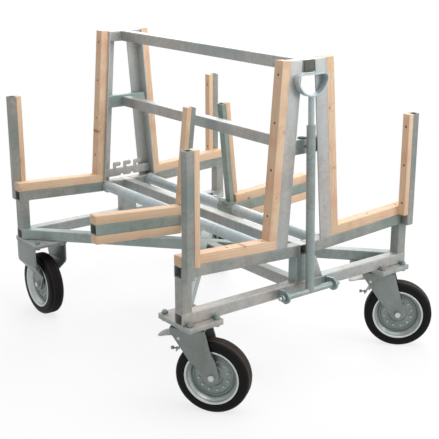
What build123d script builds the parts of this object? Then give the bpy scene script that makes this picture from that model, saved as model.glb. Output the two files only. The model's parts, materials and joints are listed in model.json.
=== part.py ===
from build123d import *
import os
from math import atan2, cos, degrees, hypot, radians, sin, tan

os.makedirs("parts", exist_ok=True)

# Slab trolley. X runs along the trolley with the drawbar end ("near") at +X, Y across it with the
# left side at -Y, Z up. The origin is on the floor at the middle of the frame.

# Overall frame
frame_length = 1148.0
frame_width = 1010.0
frame_height = 1112.0
tube = 40.0
tube_wall = 3.0
tube_corner = 4.0
deck_rise = 92.0
arm_tilt = 3.0
leg_foot_y = 105.0
leg_top_y = 56.2
leg_flange = 50.0
leg_sheet = 5.0
mid_rail_top = 845.0
brace_inset = 31.0

# Columns under the spine ends, with one gusset at the near column
column_width = 70.0
gusset_foot = 53.0
gusset_head = 21.0
gusset_height = 80.0
gusset_thickness = 6.0

# Cross pieces between the legs
mid_cross_height = 50.0
mid_cross_depth = 32.0
mid_cross_setback = 8.0
mid_cross_drop = 2.0
mid_cross_hole = 8.0
plug_diameter = 31.0
plug_head = 3.0
plug_edge = 1.5
plug_stem = 24.0
plug_depth = 10.0

# Plugs in the ends of the top rail
cap_head = 3.0
cap_plug = 14.0
cap_clearance = 0.3

# Round deck tubes, with a stop collar at each far end
deck_tube_diameter = 42.4
deck_tube_wall = 3.0
deck_tube_y = 105.0
collar_diameter = 52.0
collar_length = 8.0

# Timber and its screws
timber = 32.0
screw_head_diameter = 9.0
screw_head_height = 2.4
screw_head_taper = 20.0
screw_recess = 0.6
screw_pocket_gap = 0.3
screw_end_distance = 45.0

# Corner stakes
stake = 30.0
stake_wall = 2.5
stake_corner = 3.0
stake_length = 409.0
stake_timber = 20.0

# Hook rack between the far legs
rack_bottom_gap = 16.0
rack_strip_height = 34.0
rack_thickness = 6.0
rack_shift = -5.0
hook_pitch = 50.0
hook_count = 3
hook_length = 36.0
hook_height = 18.0
hook_round = 8.5
hook_slot = 8.0
hook_stem = 13.0
hook_back = 8.0
rack_notch = 8.0
rack_notch_back = 17.0

# Casters
wheel_diameter = 250.0
tyre_width = 60.0
tyre_shoulder = 13.0
tread_groove_width = 4.0
tread_groove_depth = 3.0
tread_groove_offset = 9.0
rim_diameter = 186.0
rim_bead = 5.0
rim_bead_offset = 27.0
rim_sheet = 3.5
rim_web_diameter = 140.0
hub_diameter = 48.0
hub_length = 34.0
axle_diameter = 12.0
axle_head_flats = 19.0
axle_head_height = 10.0
axle_clearance = 0.3
caster_trail = 78.0
crown_gap = 36.0
crown_thickness = 6.0
crown_bend = 5.5
crown_half_length = 58.0
fork_sheet = 6.0
fork_gap = 7.0
fork_foot = 26.0
fork_foot_gap = 1.0
fork_bend_top = 80.0
fork_bend_foot = 44.0
fork_shoulder = 14.0
fixed_fork_half_length = 74.0
fixed_fork_shoulder = 70.0
fixed_fork_foot = 24.0
fixed_bend_drop = 82.0
fixed_bend_rise = 40.0
race_height = 12.0
race_diameter = 92.0
race_gap = 0.4
kingpin_diameter = 20.0
kingpin_clearance = 0.3
kingpin_head_diameter = 30.0
kingpin_head_height = 6.0
plate_length = 175.0
plate_width = 140.0
plate_corner = 8.0
plate_thickness = 8.0
mount_plate_thickness = 8.0
bolt_outside = 12.0
plate_inset = 4.0
left_caster_turn = 35.6
right_caster_turn = 44.0

# Caster bolts
bolt_spacing_x = 140.0
bolt_spacing_y = 105.0
bolt_diameter = 12.0
bolt_hole_clearance = 0.5
bolt_flats = 18.0
bolt_head_height = 8.0
bolt_nut_height = 10.0
bolt_end = 3.0

# Brake pedals
brake_pin_diameter = 10.0
brake_pin_x = -28.0
brake_pin_drop = 30.0
brake_hub_wall = 4.0
brake_side_gap = 2.0
pedal_width = 60.0
pedal_sheet = 5.0
pedal_reach = 84.0
pedal_rise = 4.5
shoe_width = 40.0
shoe_back = 3.0
shoe_drop = 42.0
shoe_radius = 5.0

# Drawbar
pivot_diameter = 14.0
pivot_clearance = 0.3
pivot_offset = 34.0
pivot_lift = 16.0
sleeve_diameter = 22.0
lug_spacing = 206.0
lug_thickness = 10.0
lug_radius = 22.0
lug_root_height = 30.0
lug_root_depth = 6.0
lug_side_gap = 1.0
pivot_nut_height = 14.0
pivot_nut_flats = 22.0
pivot_end = 8.0
drawbar_lean = 1.6
drawbar_diameter = 30.0
drawbar_wall = 3.0
tube_end_edge = 1.5
shank_diameter = 20.0
shank_length = 92.0
handle_half_width = 65.5
handle_drop = 74.0
handle_corner = 18.0
handle_strap = 4.0
handle_depth = 25.0
handle_below_top = 42.0

# Sliding middle supports
left_support_x = 23.0
right_support_x = 23.0
sleeve_clearance = 0.4
support_sleeve_diameter = 53.0
support_sleeve_length = 80.0
support_tilt = 4.2
support_lean = 6.2
support_drop = 5.0
support_reach = 496.0
support_leg = 30.0
support_leg_depth = 20.0
support_leg_wall = 2.5
support_leg_foot = 7.5
support_leg_length = 396.0
support_leg_timber = 20.0
over_timber_start = 23.0
under_timber_start = 26.0
leg_strip_gap = 6.0
clamp_angle = 45.0
clamp_boss_diameter = 24.0
clamp_boss_height = 14.0
clamp_screw_diameter = 12.0
clamp_clearance = 0.3
clamp_tip_gap = 0.3
clamp_neck = 16.0
clamp_bar_diameter = 9.0
clamp_bar_length = 64.0
clamp_head_diameter = 20.0
clamp_head_height = 16.0

# Levels, from the floor up
wheel_radius = wheel_diameter / 2
axle_height = wheel_radius
crown_bottom = wheel_diameter + crown_gap
crown_top = crown_bottom + crown_thickness
plate_bottom = crown_top + race_height
mount_bottom = plate_bottom + plate_thickness
base_bottom = mount_bottom + mount_plate_thickness
base_middle = base_bottom + tube / 2
base_top = base_bottom + tube
deck_bottom = base_top + deck_rise
deck_middle = deck_bottom + tube / 2
deck_top = deck_bottom + tube

# Places along and across the frame
end_x = frame_length / 2
inner_x = end_x - tube
beam_x = end_x - tube / 2
side_y = frame_width / 2
post_y = side_y - tube / 2
kingpin_x = end_x + bolt_outside - bolt_spacing_x / 2
kingpin_y = side_y - plate_inset - plate_width / 2
brace_end_y = side_y - brace_inset
brace_angle = atan2(brace_end_y, inner_x)
brace_half_length = hypot(inner_x, brace_end_y) + tube
pivot_x = end_x + pivot_offset
pivot_z = base_bottom + pivot_lift

# Planes of the right-hand arm and leg; the left-hand ones are their mirror images
tilt = radians(arm_tilt)
lean = atan2(leg_foot_y - leg_top_y, frame_height - deck_top)
arm_normal = (0, -sin(tilt), cos(tilt))
arm_under = Plane(origin=(0, tube / 2, deck_bottom), z_dir=arm_normal)
arm_top = arm_under.offset(tube)
arm_timber_top = arm_top.offset(timber)
leg_normal = (0, cos(lean), sin(lean))
leg_middle = Plane(origin=(0, leg_foot_y, deck_top), z_dir=leg_normal)
leg_outer = leg_middle.offset(tube / 2)
leg_inside = leg_outer.offset(-leg_sheet)
side_plane = Plane(origin=(0, side_y, 0), z_dir=(0, 1, 0))
spine_plane = Plane(origin=(0, tube / 2, 0), z_dir=(0, 1, 0))
leg_length = (frame_height - deck_top) / cos(lean)
deck_tube_z = deck_bottom + tube / 2 / cos(tilt) + (deck_tube_y - tube / 2) * tan(tilt)

ENDS = {"near": 1, "far": -1}
SIDES = {"left": -1, "right": 1}


def finish(builder, name):
    """Name a finished piece and write it."""
    builder.part.label = name
    export_step(builder.part, f"parts/{name}.step")


def finish_group(name, *builders):
    """Write several finished pieces that touch as one node of separate solids."""
    group = Compound(label=name, children=[builder.part for builder in builders])
    export_step(group, f"parts/{name}.step")


def box_section(width, height, wall, corner):
    """Draw a rounded rectangular tube section in the active sketch."""
    RectangleRounded(width, height, corner)
    RectangleRounded(width - 2 * wall, height - 2 * wall, corner / 2, mode=Mode.SUBTRACT)


def frame_section():
    """Draw the frame's square tube section in the active sketch."""
    box_section(tube, tube, tube_wall, tube_corner)


def along_x(x, y, z):
    """Plane facing +X, with local X across the trolley and local Y up."""
    return Plane(origin=(x, y, z), x_dir=(0, 1, 0), z_dir=(1, 0, 0))


def along_y(x, y, z):
    """Plane facing +Y, with local Y up."""
    return Plane(origin=(x, y, z), x_dir=(-1, 0, 0), z_dir=(0, 1, 0))


def arm_plane(x):
    """Plane across the right-hand arm at its inner end, with local Y up."""
    root = (x, tube / 2, deck_bottom + tube / 2 / cos(tilt))
    return Plane(origin=root, x_dir=(-1, 0, 0), z_dir=(0, cos(tilt), sin(tilt)))


def leg_plane(x):
    """Plane across the right-hand leg at deck height, with local Y outwards."""
    return Plane(origin=(x, leg_foot_y, deck_top), x_dir=(1, 0, 0), z_dir=(0, -sin(lean), cos(lean)))


def left_of(plane):
    """Mirror image of a plane in the trolley's middle plane."""
    origin = plane.origin
    normal = plane.z_dir
    return Plane(origin=(origin.X, -origin.Y, origin.Z), z_dir=(normal.X, -normal.Y, normal.Z))


def copy_to_corners():
    """Mirror the active part to all four corners of the frame."""
    mirror(about=Plane.XZ)
    mirror(about=Plane.YZ)


def trim_between_legs():
    """Cut the active part back to the inner faces of a pair of legs."""
    split(bisect_by=leg_inside, keep=Keep.BOTTOM)
    split(bisect_by=left_of(leg_inside), keep=Keep.BOTTOM)


# Base: end beams, crossed braces and the near base spine
for end, sign in ENDS.items():
    with BuildPart() as lower_beam:
        with BuildSketch(along_y(sign * beam_x, -side_y, base_middle)):
            frame_section()
        extrude(amount=frame_width)
    finish(lower_beam, f"{end}_lower_beam")


def brace_plane(angle):
    """Plane across a brace at the middle of the base."""
    return Plane(
        origin=(0, 0, base_middle),
        x_dir=(-sin(angle), cos(angle), 0),
        z_dir=(cos(angle), sin(angle), 0),
    )


def brace_tube(angle):
    """Add a brace between the inner faces of the end beams to the active part."""
    with BuildSketch(brace_plane(angle)) as section:
        frame_section()
    extrude(section.sketch, amount=brace_half_length, both=True)
    split(bisect_by=along_x(inner_x, 0, 0), keep=Keep.BOTTOM)
    split(bisect_by=along_x(-inner_x, 0, 0), keep=Keep.TOP)


def cut_brace_space(angle):
    """Cut the space that a brace takes up out of the active part."""
    with BuildSketch(brace_plane(angle)) as section:
        Rectangle(tube, 2 * tube)
    extrude(section.sketch, amount=brace_half_length, both=True, mode=Mode.SUBTRACT)


with BuildPart() as diagonal_brace:
    brace_tube(brace_angle)
finish(diagonal_brace, "diagonal_brace")

with BuildPart() as cross_brace:
    brace_tube(-brace_angle)
    cut_brace_space(brace_angle)
finish(cross_brace, "cross_brace")

with BuildPart() as base_spine:
    with BuildSketch(along_x(0, 0, base_middle)):
        frame_section()
    extrude(amount=inner_x)
    cut_brace_space(brace_angle)
    cut_brace_space(-brace_angle)
finish(base_spine, "base_spine")

# Posts, columns and gusset between base and deck
with BuildPart() as corner_posts:
    with BuildSketch(Plane(origin=(beam_x, post_y, base_top))):
        frame_section()
    extrude(amount=deck_rise + side_y)
    split(bisect_by=arm_under, keep=Keep.BOTTOM)
    copy_to_corners()
finish(corner_posts, "corner_posts")

for end, sign in ENDS.items():
    with BuildPart() as column:
        with BuildSketch(Plane(origin=(sign * beam_x, 0, base_top))):
            box_section(tube, column_width, tube_wall, tube_corner)
        extrude(amount=deck_rise)
    finish(column, f"{end}_column")

with BuildPart() as column_gusset:
    with BuildSketch(along_x(end_x, column_width / 2, base_top)):
        Polygon(
            (0, 0),
            (gusset_foot, 0),
            (gusset_head, gusset_height),
            (0, gusset_height),
            align=None,
        )
    extrude(amount=-gusset_thickness)
finish(column_gusset, "column_gusset")

# Deck: spine, round tubes and the arms
with BuildPart() as deck_spine:
    with BuildSketch(along_x(-end_x, 0, deck_middle)):
        frame_section()
    extrude(amount=frame_length)
finish(deck_spine, "deck_spine")

with BuildPart() as deck_tubes:
    with BuildSketch(along_x(-inner_x, deck_tube_y, deck_tube_z)):
        Circle(deck_tube_diameter / 2)
        Circle(deck_tube_diameter / 2 - deck_tube_wall, mode=Mode.SUBTRACT)
    extrude(amount=2 * inner_x)
    mirror(about=Plane.XZ)
finish(deck_tubes, "deck_tubes")

with BuildPart() as tube_collars:
    with BuildSketch(along_x(-inner_x, deck_tube_y, deck_tube_z)):
        Circle(collar_diameter / 2)
        Circle(deck_tube_diameter / 2, mode=Mode.SUBTRACT)
    extrude(amount=collar_length)
    mirror(about=Plane.XZ)
finish(tube_collars, "tube_collars")

for end, sign in ENDS.items():
    with BuildPart() as arms:
        with BuildSketch(arm_plane(sign * beam_x).offset(-tube)):
            frame_section()
        extrude(amount=frame_width)
        split(bisect_by=spine_plane, keep=Keep.TOP)
        split(bisect_by=side_plane, keep=Keep.BOTTOM)
        mirror(about=Plane.XZ)
    finish(arms, f"{end}_arms")

# A-shaped ends: legs, cross pieces and rails
for end, sign in ENDS.items():
    with BuildPart() as legs:
        with BuildSketch(leg_plane(sign * end_x).offset(-tube)):
            with Locations((-sign * leg_flange / 2, (tube - leg_sheet) / 2)):
                Rectangle(leg_flange, leg_sheet)
            with Locations((-sign * leg_sheet / 2, (tube - leg_flange) / 2)):
                Rectangle(leg_sheet, leg_flange)
        extrude(amount=tube + leg_length)
        split(bisect_by=arm_top, keep=Keep.TOP)
        mirror(about=Plane.XZ)
    finish(legs, f"{end}_legs")

with BuildPart() as top_rail:
    with BuildSketch(along_x(-end_x, 0, frame_height - tube / 2)):
        frame_section()
    extrude(amount=frame_length)
finish(top_rail, "top_rail")

cap_width = tube - 2 * tube_wall - 2 * cap_clearance
with BuildPart() as rail_caps:
    with BuildSketch(along_x(end_x, 0, frame_height - tube / 2)):
        RectangleRounded(tube, tube, tube_corner)
    extrude(amount=cap_head)
    with BuildSketch(along_x(end_x, 0, frame_height - tube / 2)):
        RectangleRounded(cap_width, cap_width, tube_corner / 2)
    extrude(amount=-cap_plug)
    mirror(about=Plane.YZ)
finish(rail_caps, "rail_caps")

with BuildPart() as top_cross_pieces:
    with BuildSketch(along_y(beam_x - leg_sheet, tube / 2, frame_height - tube / 2)):
        frame_section()
    extrude(amount=side_y)
    split(bisect_by=leg_inside, keep=Keep.BOTTOM)
    copy_to_corners()
finish(top_cross_pieces, "top_cross_pieces")

mid_cross_x = end_x - mid_cross_setback - mid_cross_depth / 2
mid_cross_middle = mid_rail_top - mid_cross_drop - tube + mid_cross_height / 2
mid_cross_top = mid_cross_middle + mid_cross_height / 2
plug_plane = Plane(origin=(mid_cross_x, 0, mid_cross_top))

with BuildPart() as mid_cross_pieces:
    with BuildSketch(along_y(mid_cross_x, -side_y, mid_cross_middle)):
        box_section(mid_cross_depth, mid_cross_height, tube_wall, tube_corner)
    extrude(amount=frame_width)
    trim_between_legs()
    with BuildSketch(along_x(mid_cross_x, 0, mid_cross_middle)):
        Circle(mid_cross_hole / 2)
    extrude(amount=mid_cross_depth, mode=Mode.SUBTRACT)
    mirror(about=Plane.YZ)
    with BuildSketch(plug_plane):
        Circle(plug_stem / 2)
    extrude(amount=-plug_depth, mode=Mode.SUBTRACT)
finish(mid_cross_pieces, "mid_cross_pieces")

with BuildPart() as cross_plug:
    with BuildSketch(plug_plane):
        Circle(plug_diameter / 2)
    extrude(amount=plug_head)
    fillet(cross_plug.edges().group_by(Axis.Z)[-1], plug_edge)
    with BuildSketch(plug_plane):
        Circle(plug_stem / 2)
    extrude(amount=-plug_depth)
finish(cross_plug, "cross_plug")

mid_rail_half = mid_cross_x - mid_cross_depth / 2
with BuildPart() as mid_rail:
    with BuildSketch(along_x(-mid_rail_half, 0, mid_rail_top - tube / 2)):
        frame_section()
    extrude(amount=2 * mid_rail_half)
finish(mid_rail, "mid_rail")

# Hook rack: a strip with blunt hooks that open to the right, between the far legs
rack_bottom = deck_top + rack_bottom_gap
rack_strip_top = rack_bottom + rack_strip_height
hook_middle = rack_strip_top + hook_slot + hook_height / 2
hook_places = [rack_shift + hook_pitch * (i - (hook_count - 1) / 2) for i in range(hook_count)]

with BuildPart() as hook_rack:
    with BuildSketch(along_x(-beam_x, 0, 0)):
        with Locations((0, rack_bottom + rack_strip_height / 2)):
            Rectangle(frame_width, rack_strip_height)
        for place in hook_places:
            with Locations((place - hook_back + hook_stem / 2, (rack_strip_top + hook_middle) / 2)):
                Rectangle(hook_stem, hook_middle - rack_strip_top)
            with Locations((place - hook_back + hook_length / 2, hook_middle)):
                RectangleRounded(hook_length, hook_height, hook_round)
        for place in hook_places[1:]:
            with Locations((place - rack_notch_back, rack_bottom)):
                Circle(rack_notch, mode=Mode.SUBTRACT)
    extrude(amount=rack_thickness / 2, both=True)
    trim_between_legs()
finish(hook_rack, "hook_rack")

# Timber faces that slabs touch, with their rows of sunk screws
stake_x = end_x + stake / 2
stake_y = side_y - stake / 2
stake_bottom = deck_bottom + (stake_y - tube / 2) * tan(tilt)
stake_timber_bottom = stake_bottom + tube / cos(tilt)
stake_timber_y = side_y - stake - stake_timber / 2
arm_timber_run = (side_y - leg_foot_y - tube / 2) / cos(tilt)
leg_timber_run = leg_length - timber - tube
arm_face = Plane(
    origin=(beam_x, side_y, arm_timber_top.origin.Z + (side_y - arm_timber_top.origin.Y) * tan(tilt)),
    x_dir=(0, -cos(tilt), -sin(tilt)),
    z_dir=arm_normal,
)
leg_face = Plane(
    origin=leg_plane(beam_x).offset(leg_length).origin + Vector(leg_normal) * (tube / 2 + timber),
    x_dir=(0, sin(lean), -cos(lean)),
    z_dir=leg_normal,
)
stake_face = Plane(
    origin=(stake_x, side_y - stake - stake_timber, stake_bottom + stake_length),
    x_dir=(0, 0, -1),
    z_dir=(0, -1, 0),
)
screw_depth = screw_recess + screw_head_height
SCREW_ROWS = [
    (arm_face, arm_timber_run, 3),
    (leg_face, leg_timber_run, 4),
    (stake_face, stake_length - tube, 3),
]


def screw_row(run, count, diameter):
    """Add the circles of a row of screws to the active sketch."""
    step = (run - 2 * screw_end_distance) / (count - 1)
    with Locations(*[(screw_end_distance + step * i, 0) for i in range(count)]):
        Circle(diameter / 2)


def screw_pockets(face, run, count):
    """Sink the pockets of a row of screws into the active part."""
    with BuildSketch(face) as pockets:
        screw_row(run, count, screw_head_diameter + 2 * screw_pocket_gap)
    extrude(pockets.sketch, amount=-screw_depth, mode=Mode.SUBTRACT)


# Timber on the arms and legs
with BuildPart() as arm_timbers:
    with BuildSketch(arm_plane(beam_x)):
        with Locations((0, tube / 2 + timber / 2)):
            Rectangle(tube, timber)
    extrude(amount=frame_width)
    split(bisect_by=leg_outer, keep=Keep.TOP)
    split(bisect_by=side_plane, keep=Keep.BOTTOM)
    screw_pockets(*SCREW_ROWS[0])
    copy_to_corners()
finish(arm_timbers, "arm_timbers")

with BuildPart() as leg_timbers:
    with BuildSketch(leg_plane(beam_x)):
        with Locations((0, tube / 2 + timber / 2)):
            Rectangle(tube, timber)
    extrude(amount=leg_length)
    split(bisect_by=arm_timber_top, keep=Keep.TOP)
    screw_pockets(*SCREW_ROWS[1])
    copy_to_corners()
finish(leg_timbers, "leg_timbers")

# Corner stakes on the outer faces of the arms, with a timber strip on the inner side
with BuildPart() as stakes:
    with BuildSketch(Plane(origin=(stake_x, stake_y, stake_bottom))):
        box_section(stake, stake, stake_wall, stake_corner)
    extrude(amount=stake_length)
    copy_to_corners()
finish(stakes, "stakes")

with BuildPart() as stake_timbers:
    with BuildSketch(Plane(origin=(stake_x, stake_timber_y, stake_timber_bottom))):
        Rectangle(stake, stake_timber)
    extrude(amount=stake_bottom + stake_length - stake_timber_bottom)
    screw_pockets(*SCREW_ROWS[2])
    copy_to_corners()
finish(stake_timbers, "stake_timbers")

with BuildPart() as timber_screws:
    for face, run, count in SCREW_ROWS:
        with BuildSketch(face.offset(-screw_depth)) as heads:
            screw_row(run, count, screw_head_diameter)
        extrude(heads.sketch, amount=screw_head_height, taper=screw_head_taper)
    copy_to_corners()
finish(timber_screws, "timber_screws")

# Caster mounting plates and bolts
CASTERS = [(x, y) for x in (kingpin_x, -kingpin_x) for y in (-kingpin_y, kingpin_y)]


def plate_with_bolt_holes(plane, thickness):
    """Add a caster plate with its four bolt holes to the active part."""
    with BuildSketch(plane) as outline:
        RectangleRounded(plate_length, plate_width, plate_corner)
        with GridLocations(bolt_spacing_x, bolt_spacing_y, 2, 2):
            Circle(bolt_diameter / 2 + bolt_hole_clearance, mode=Mode.SUBTRACT)
    extrude(outline.sketch, amount=thickness)


with BuildPart() as mount_plates:
    for x, y in CASTERS:
        plate_with_bolt_holes(Plane(origin=(x, y, mount_bottom)), mount_plate_thickness)
finish(mount_plates, "mount_plates")

bolt_grip = base_bottom - plate_bottom


def bolt_places(x, y):
    """Bolt places of one caster; the one nearest the middle of the trolley lies under a brace."""
    return [
        (x + i * bolt_spacing_x / 2, y + j * bolt_spacing_y / 2)
        for i in (-1, 1)
        for j in (-1, 1)
    ]


all_bolts = [spot for x, y in CASTERS for spot in bolt_places(x, y)]
nut_bolts = [
    (x, y)
    for x, y in all_bolts
    if abs(x) > kingpin_x or abs(y) > kingpin_y
]

with BuildPart() as caster_bolts:
    with BuildSketch(Plane.XY.offset(plate_bottom)):
        with Locations(*all_bolts):
            RegularPolygon(bolt_flats / 2, 6, major_radius=False)
    extrude(amount=-bolt_head_height)
    with BuildSketch(Plane.XY.offset(plate_bottom)):
        with Locations(*all_bolts):
            Circle(bolt_diameter / 2)
    extrude(amount=bolt_grip)
    with BuildSketch(Plane.XY.offset(base_bottom)):
        with Locations(*nut_bolts):
            Circle(bolt_diameter / 2)
    extrude(amount=bolt_nut_height + bolt_end)

with BuildPart() as caster_nuts:
    with BuildSketch(Plane.XY.offset(base_bottom)):
        with Locations(*nut_bolts):
            RegularPolygon(bolt_flats / 2, 6, major_radius=False)
            Circle(bolt_diameter / 2, mode=Mode.SUBTRACT)
    extrude(amount=bolt_nut_height)
finish_group("caster_bolts", caster_bolts, caster_nuts)

# Caster pieces, drawn about the kingpin axis with the wheel trailing along local X
fork_inner = tyre_width / 2 + fork_gap
fork_outer = fork_inner + fork_sheet
foot_inner = hub_length / 2 + fork_foot_gap
foot_outer = foot_inner + fork_sheet
race_half = (race_height - race_gap) / 2
brake_pin_z = crown_bottom - brake_pin_drop

with BuildPart() as swivel_plate:
    plate_with_bolt_holes(Plane.XY.offset(plate_bottom), plate_thickness)
    with BuildSketch(Plane.XY.offset(plate_bottom)):
        Circle(race_diameter / 2)
    extrude(amount=-race_half)
    with BuildSketch(Plane.XY.offset(plate_bottom)):
        Circle(kingpin_diameter / 2)
    extrude(amount=crown_bottom - race_gap - plate_bottom)
    with BuildSketch(Plane.XY.offset(crown_bottom - race_gap)):
        Circle(kingpin_head_diameter / 2)
    extrude(amount=-kingpin_head_height)


# Swivel fork: legs lean back to the axle and bend inwards below the tyre, towards the hub
fork_rise = hypot(caster_trail, crown_top - axle_height)
fork_rake = degrees(atan2(caster_trail, crown_top - axle_height))
leg_plane = Plane(Location((caster_trail, 0, axle_height), (0, -fork_rake, 0)) * Plane.YZ.location)

with BuildPart() as swivel_fork:
    with BuildSketch(leg_plane):
        Polygon(
            (fork_outer, 2 * fork_rise),
            (fork_outer, fork_bend_top),
            (foot_outer, fork_bend_foot),
            (foot_outer, -2 * fork_foot),
            (foot_inner, -2 * fork_foot),
            (foot_inner, fork_bend_foot),
            (fork_inner, fork_bend_top),
            (fork_inner, 2 * fork_rise),
            align=None,
        )
    extrude(amount=fork_rise, both=True)
    mirror(about=Plane.XZ)
    with BuildSketch(Plane.XZ):
        with Locations((0, crown_top - fork_shoulder / 2)):
            Rectangle(2 * crown_half_length, fork_shoulder)
        with Locations((caster_trail, axle_height)):
            Circle(fork_foot)
        make_hull()
        with Locations((caster_trail, axle_height)):
            Circle(axle_diameter / 2, mode=Mode.SUBTRACT)
    extrude(amount=fork_outer, both=True, mode=Mode.INTERSECT)
    with BuildSketch(Plane.XY.offset(crown_bottom)):
        Rectangle(2 * crown_half_length, 2 * fork_outer)
    extrude(amount=crown_thickness)
    fillet(swivel_fork.edges().filter_by(Axis.X).group_by(Axis.Z)[-1], crown_bend)
    with BuildSketch(Plane.XY.offset(crown_top)):
        Circle(race_diameter / 2)
    extrude(amount=race_half)
    with BuildSketch(Plane.XY.offset(crown_bottom)):
        Circle(kingpin_diameter / 2 + kingpin_clearance)
    extrude(amount=race_height, mode=Mode.SUBTRACT)
    with BuildSketch(Plane.XZ):
        with Locations((brake_pin_x, brake_pin_z)):
            Circle(brake_pin_diameter / 2)
    extrude(amount=fork_outer, both=True, mode=Mode.SUBTRACT)

# Fixed fork: legs come down from the plate's sides, bend inwards and taper to the axle
fixed_outer = plate_width / 2
fixed_bend_top = plate_bottom - fixed_bend_drop
fixed_bend_foot = axle_height + fixed_bend_rise
fixed_end = axle_height - fixed_fork_foot
with BuildPart() as fixed_fork:
    with BuildSketch(Plane.YZ):
        Polygon(
            (fixed_outer, plate_bottom),
            (fixed_outer, fixed_bend_top),
            (foot_outer, fixed_bend_foot),
            (foot_outer, fixed_end),
            (foot_inner, fixed_end),
            (foot_inner, fixed_bend_foot),
            (fixed_outer - fork_sheet, fixed_bend_top),
            (fixed_outer - fork_sheet, plate_bottom),
            align=None,
        )
    extrude(amount=plate_length / 2, both=True)
    mirror(about=Plane.XZ)
    with BuildSketch(Plane.XZ):
        with Locations((0, plate_bottom - fixed_fork_shoulder / 2)):
            Rectangle(2 * fixed_fork_half_length, fixed_fork_shoulder)
        with Locations((0, axle_height)):
            Circle(fixed_fork_foot)
        make_hull()
        with Locations((0, axle_height)):
            Circle(axle_diameter / 2, mode=Mode.SUBTRACT)
    extrude(amount=plate_width, both=True, mode=Mode.INTERSECT)
    plate_with_bolt_holes(Plane.XY.offset(plate_bottom), plate_thickness)


def axle_bolt(axle_x):
    """Add an axle bolt with its head and nut to the active part."""
    with BuildSketch(Plane.XZ) as shank:
        with Locations((axle_x, axle_height)):
            Circle(axle_diameter / 2)
    extrude(shank.sketch, amount=foot_outer + axle_head_height, both=True)
    with BuildSketch(Plane.XZ.offset(foot_outer)) as head:
        with Locations((axle_x, axle_height)):
            RegularPolygon(axle_head_flats / 2, 6, major_radius=False)
    extrude(head.sketch, amount=axle_head_height)
    mirror(about=Plane.XZ)


with BuildPart() as swivel_axle:
    axle_bolt(caster_trail)
    with BuildSketch(Plane.XZ):
        with Locations((brake_pin_x, brake_pin_z)):
            Circle(brake_pin_diameter / 2)
    extrude(amount=fork_outer, both=True)

with BuildPart() as fixed_axle:
    axle_bolt(0)

# Brake pedal: hub on its pin, pressed lever plate outwards and a shoe above the tread
with BuildPart() as brake_pedal:
    with BuildSketch(Plane.XZ):
        with Locations((brake_pin_x, brake_pin_z)):
            Circle(brake_pin_diameter / 2 + brake_hub_wall)
    extrude(amount=fork_inner - brake_side_gap, both=True)
    heel = (brake_pin_x, brake_pin_z + pedal_rise)
    toe = (brake_pin_x - pedal_reach, brake_pin_z + pedal_rise)
    with BuildSketch(Plane.XZ):
        with Locations(heel, toe):
            Circle(pedal_sheet / 2)
        make_hull()
    extrude(amount=pedal_width / 2, both=True)
    with BuildSketch(Plane.XZ):
        with Locations((brake_pin_x, brake_pin_z), (brake_pin_x - shoe_back, brake_pin_z - shoe_drop)):
            Circle(shoe_radius)
        make_hull()
    extrude(amount=shoe_width / 2, both=True)
    with BuildSketch(Plane.XZ):
        with Locations((brake_pin_x, brake_pin_z)):
            Circle(brake_pin_diameter / 2 + axle_clearance)
    extrude(amount=fork_inner, both=True, mode=Mode.SUBTRACT)

# Wheel sections, drawn about local Y with radius along local X, axle at the origin
web_radius = rim_web_diameter / 2
rim_radius = rim_diameter / 2
hub_radius = hub_diameter / 2

with BuildPart() as rim:
    with BuildSketch(Plane.XY):
        Polygon(
            (hub_radius, 0),
            (web_radius, 0),
            (rim_radius - rim_bead, rim_bead_offset),
            (rim_radius, rim_bead_offset),
            (rim_radius, rim_bead_offset + rim_sheet),
            (rim_radius - rim_bead - rim_sheet, rim_bead_offset + rim_sheet),
            (web_radius - rim_sheet, rim_sheet),
            (hub_radius, rim_sheet),
            align=None,
        )
    revolve(axis=Axis.Y)
    mirror(about=Plane.XZ)
    with BuildSketch(Plane.XZ):
        Circle(hub_radius)
    extrude(amount=hub_length / 2, both=True)
    with BuildSketch(Plane.XZ):
        Circle(axle_diameter / 2 + axle_clearance)
    extrude(amount=hub_length, both=True, mode=Mode.SUBTRACT)

with BuildPart() as tyre:
    with BuildSketch(Plane.XY):
        Polygon(
            (web_radius, 0),
            (rim_radius - rim_bead, rim_bead_offset),
            (rim_radius, rim_bead_offset),
            (rim_radius + rim_bead, tyre_width / 2),
            (wheel_radius - tyre_shoulder, tyre_width / 2),
            (wheel_radius, tyre_width / 2 - tyre_shoulder),
            (wheel_radius, 0),
            align=None,
        )
        with Locations((wheel_radius - tread_groove_depth / 2, tread_groove_offset)):
            Rectangle(tread_groove_depth, tread_groove_width, mode=Mode.SUBTRACT)
    revolve(axis=Axis.Y)
    mirror(about=Plane.XZ)


def place(piece, name, spot):
    """Set a finished piece at its place on the trolley and write it."""
    with BuildPart() as placed:
        with Locations(spot):
            add(piece.part)
    finish(placed, name)


swivel_spots = {
    "left": Location((kingpin_x, -kingpin_y, 0), (0, 0, left_caster_turn)),
    "right": Location((kingpin_x, kingpin_y, 0), (0, 0, right_caster_turn)),
}
for side, spot in swivel_spots.items():
    flat_spot = Location((kingpin_x, SIDES[side] * kingpin_y, 0))
    wheel_spot = spot * Location((caster_trail, 0, axle_height))
    place(swivel_plate, f"near_{side}_swivel_plate", flat_spot)
    place(swivel_fork, f"near_{side}_fork", spot)
    place(swivel_axle, f"near_{side}_axle", spot)
    place(brake_pedal, f"near_{side}_brake_pedal", spot)
    place(rim, f"near_{side}_rim", wheel_spot)
    place(tyre, f"near_{side}_tyre", wheel_spot)

for side, sign in SIDES.items():
    spot = Location((-kingpin_x, sign * kingpin_y, 0))
    wheel_spot = spot * Location((0, 0, axle_height))
    place(fixed_fork, f"far_{side}_fork", spot)
    place(rim, f"far_{side}_rim", wheel_spot)
    place(tyre, f"far_{side}_tyre", wheel_spot)

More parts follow.
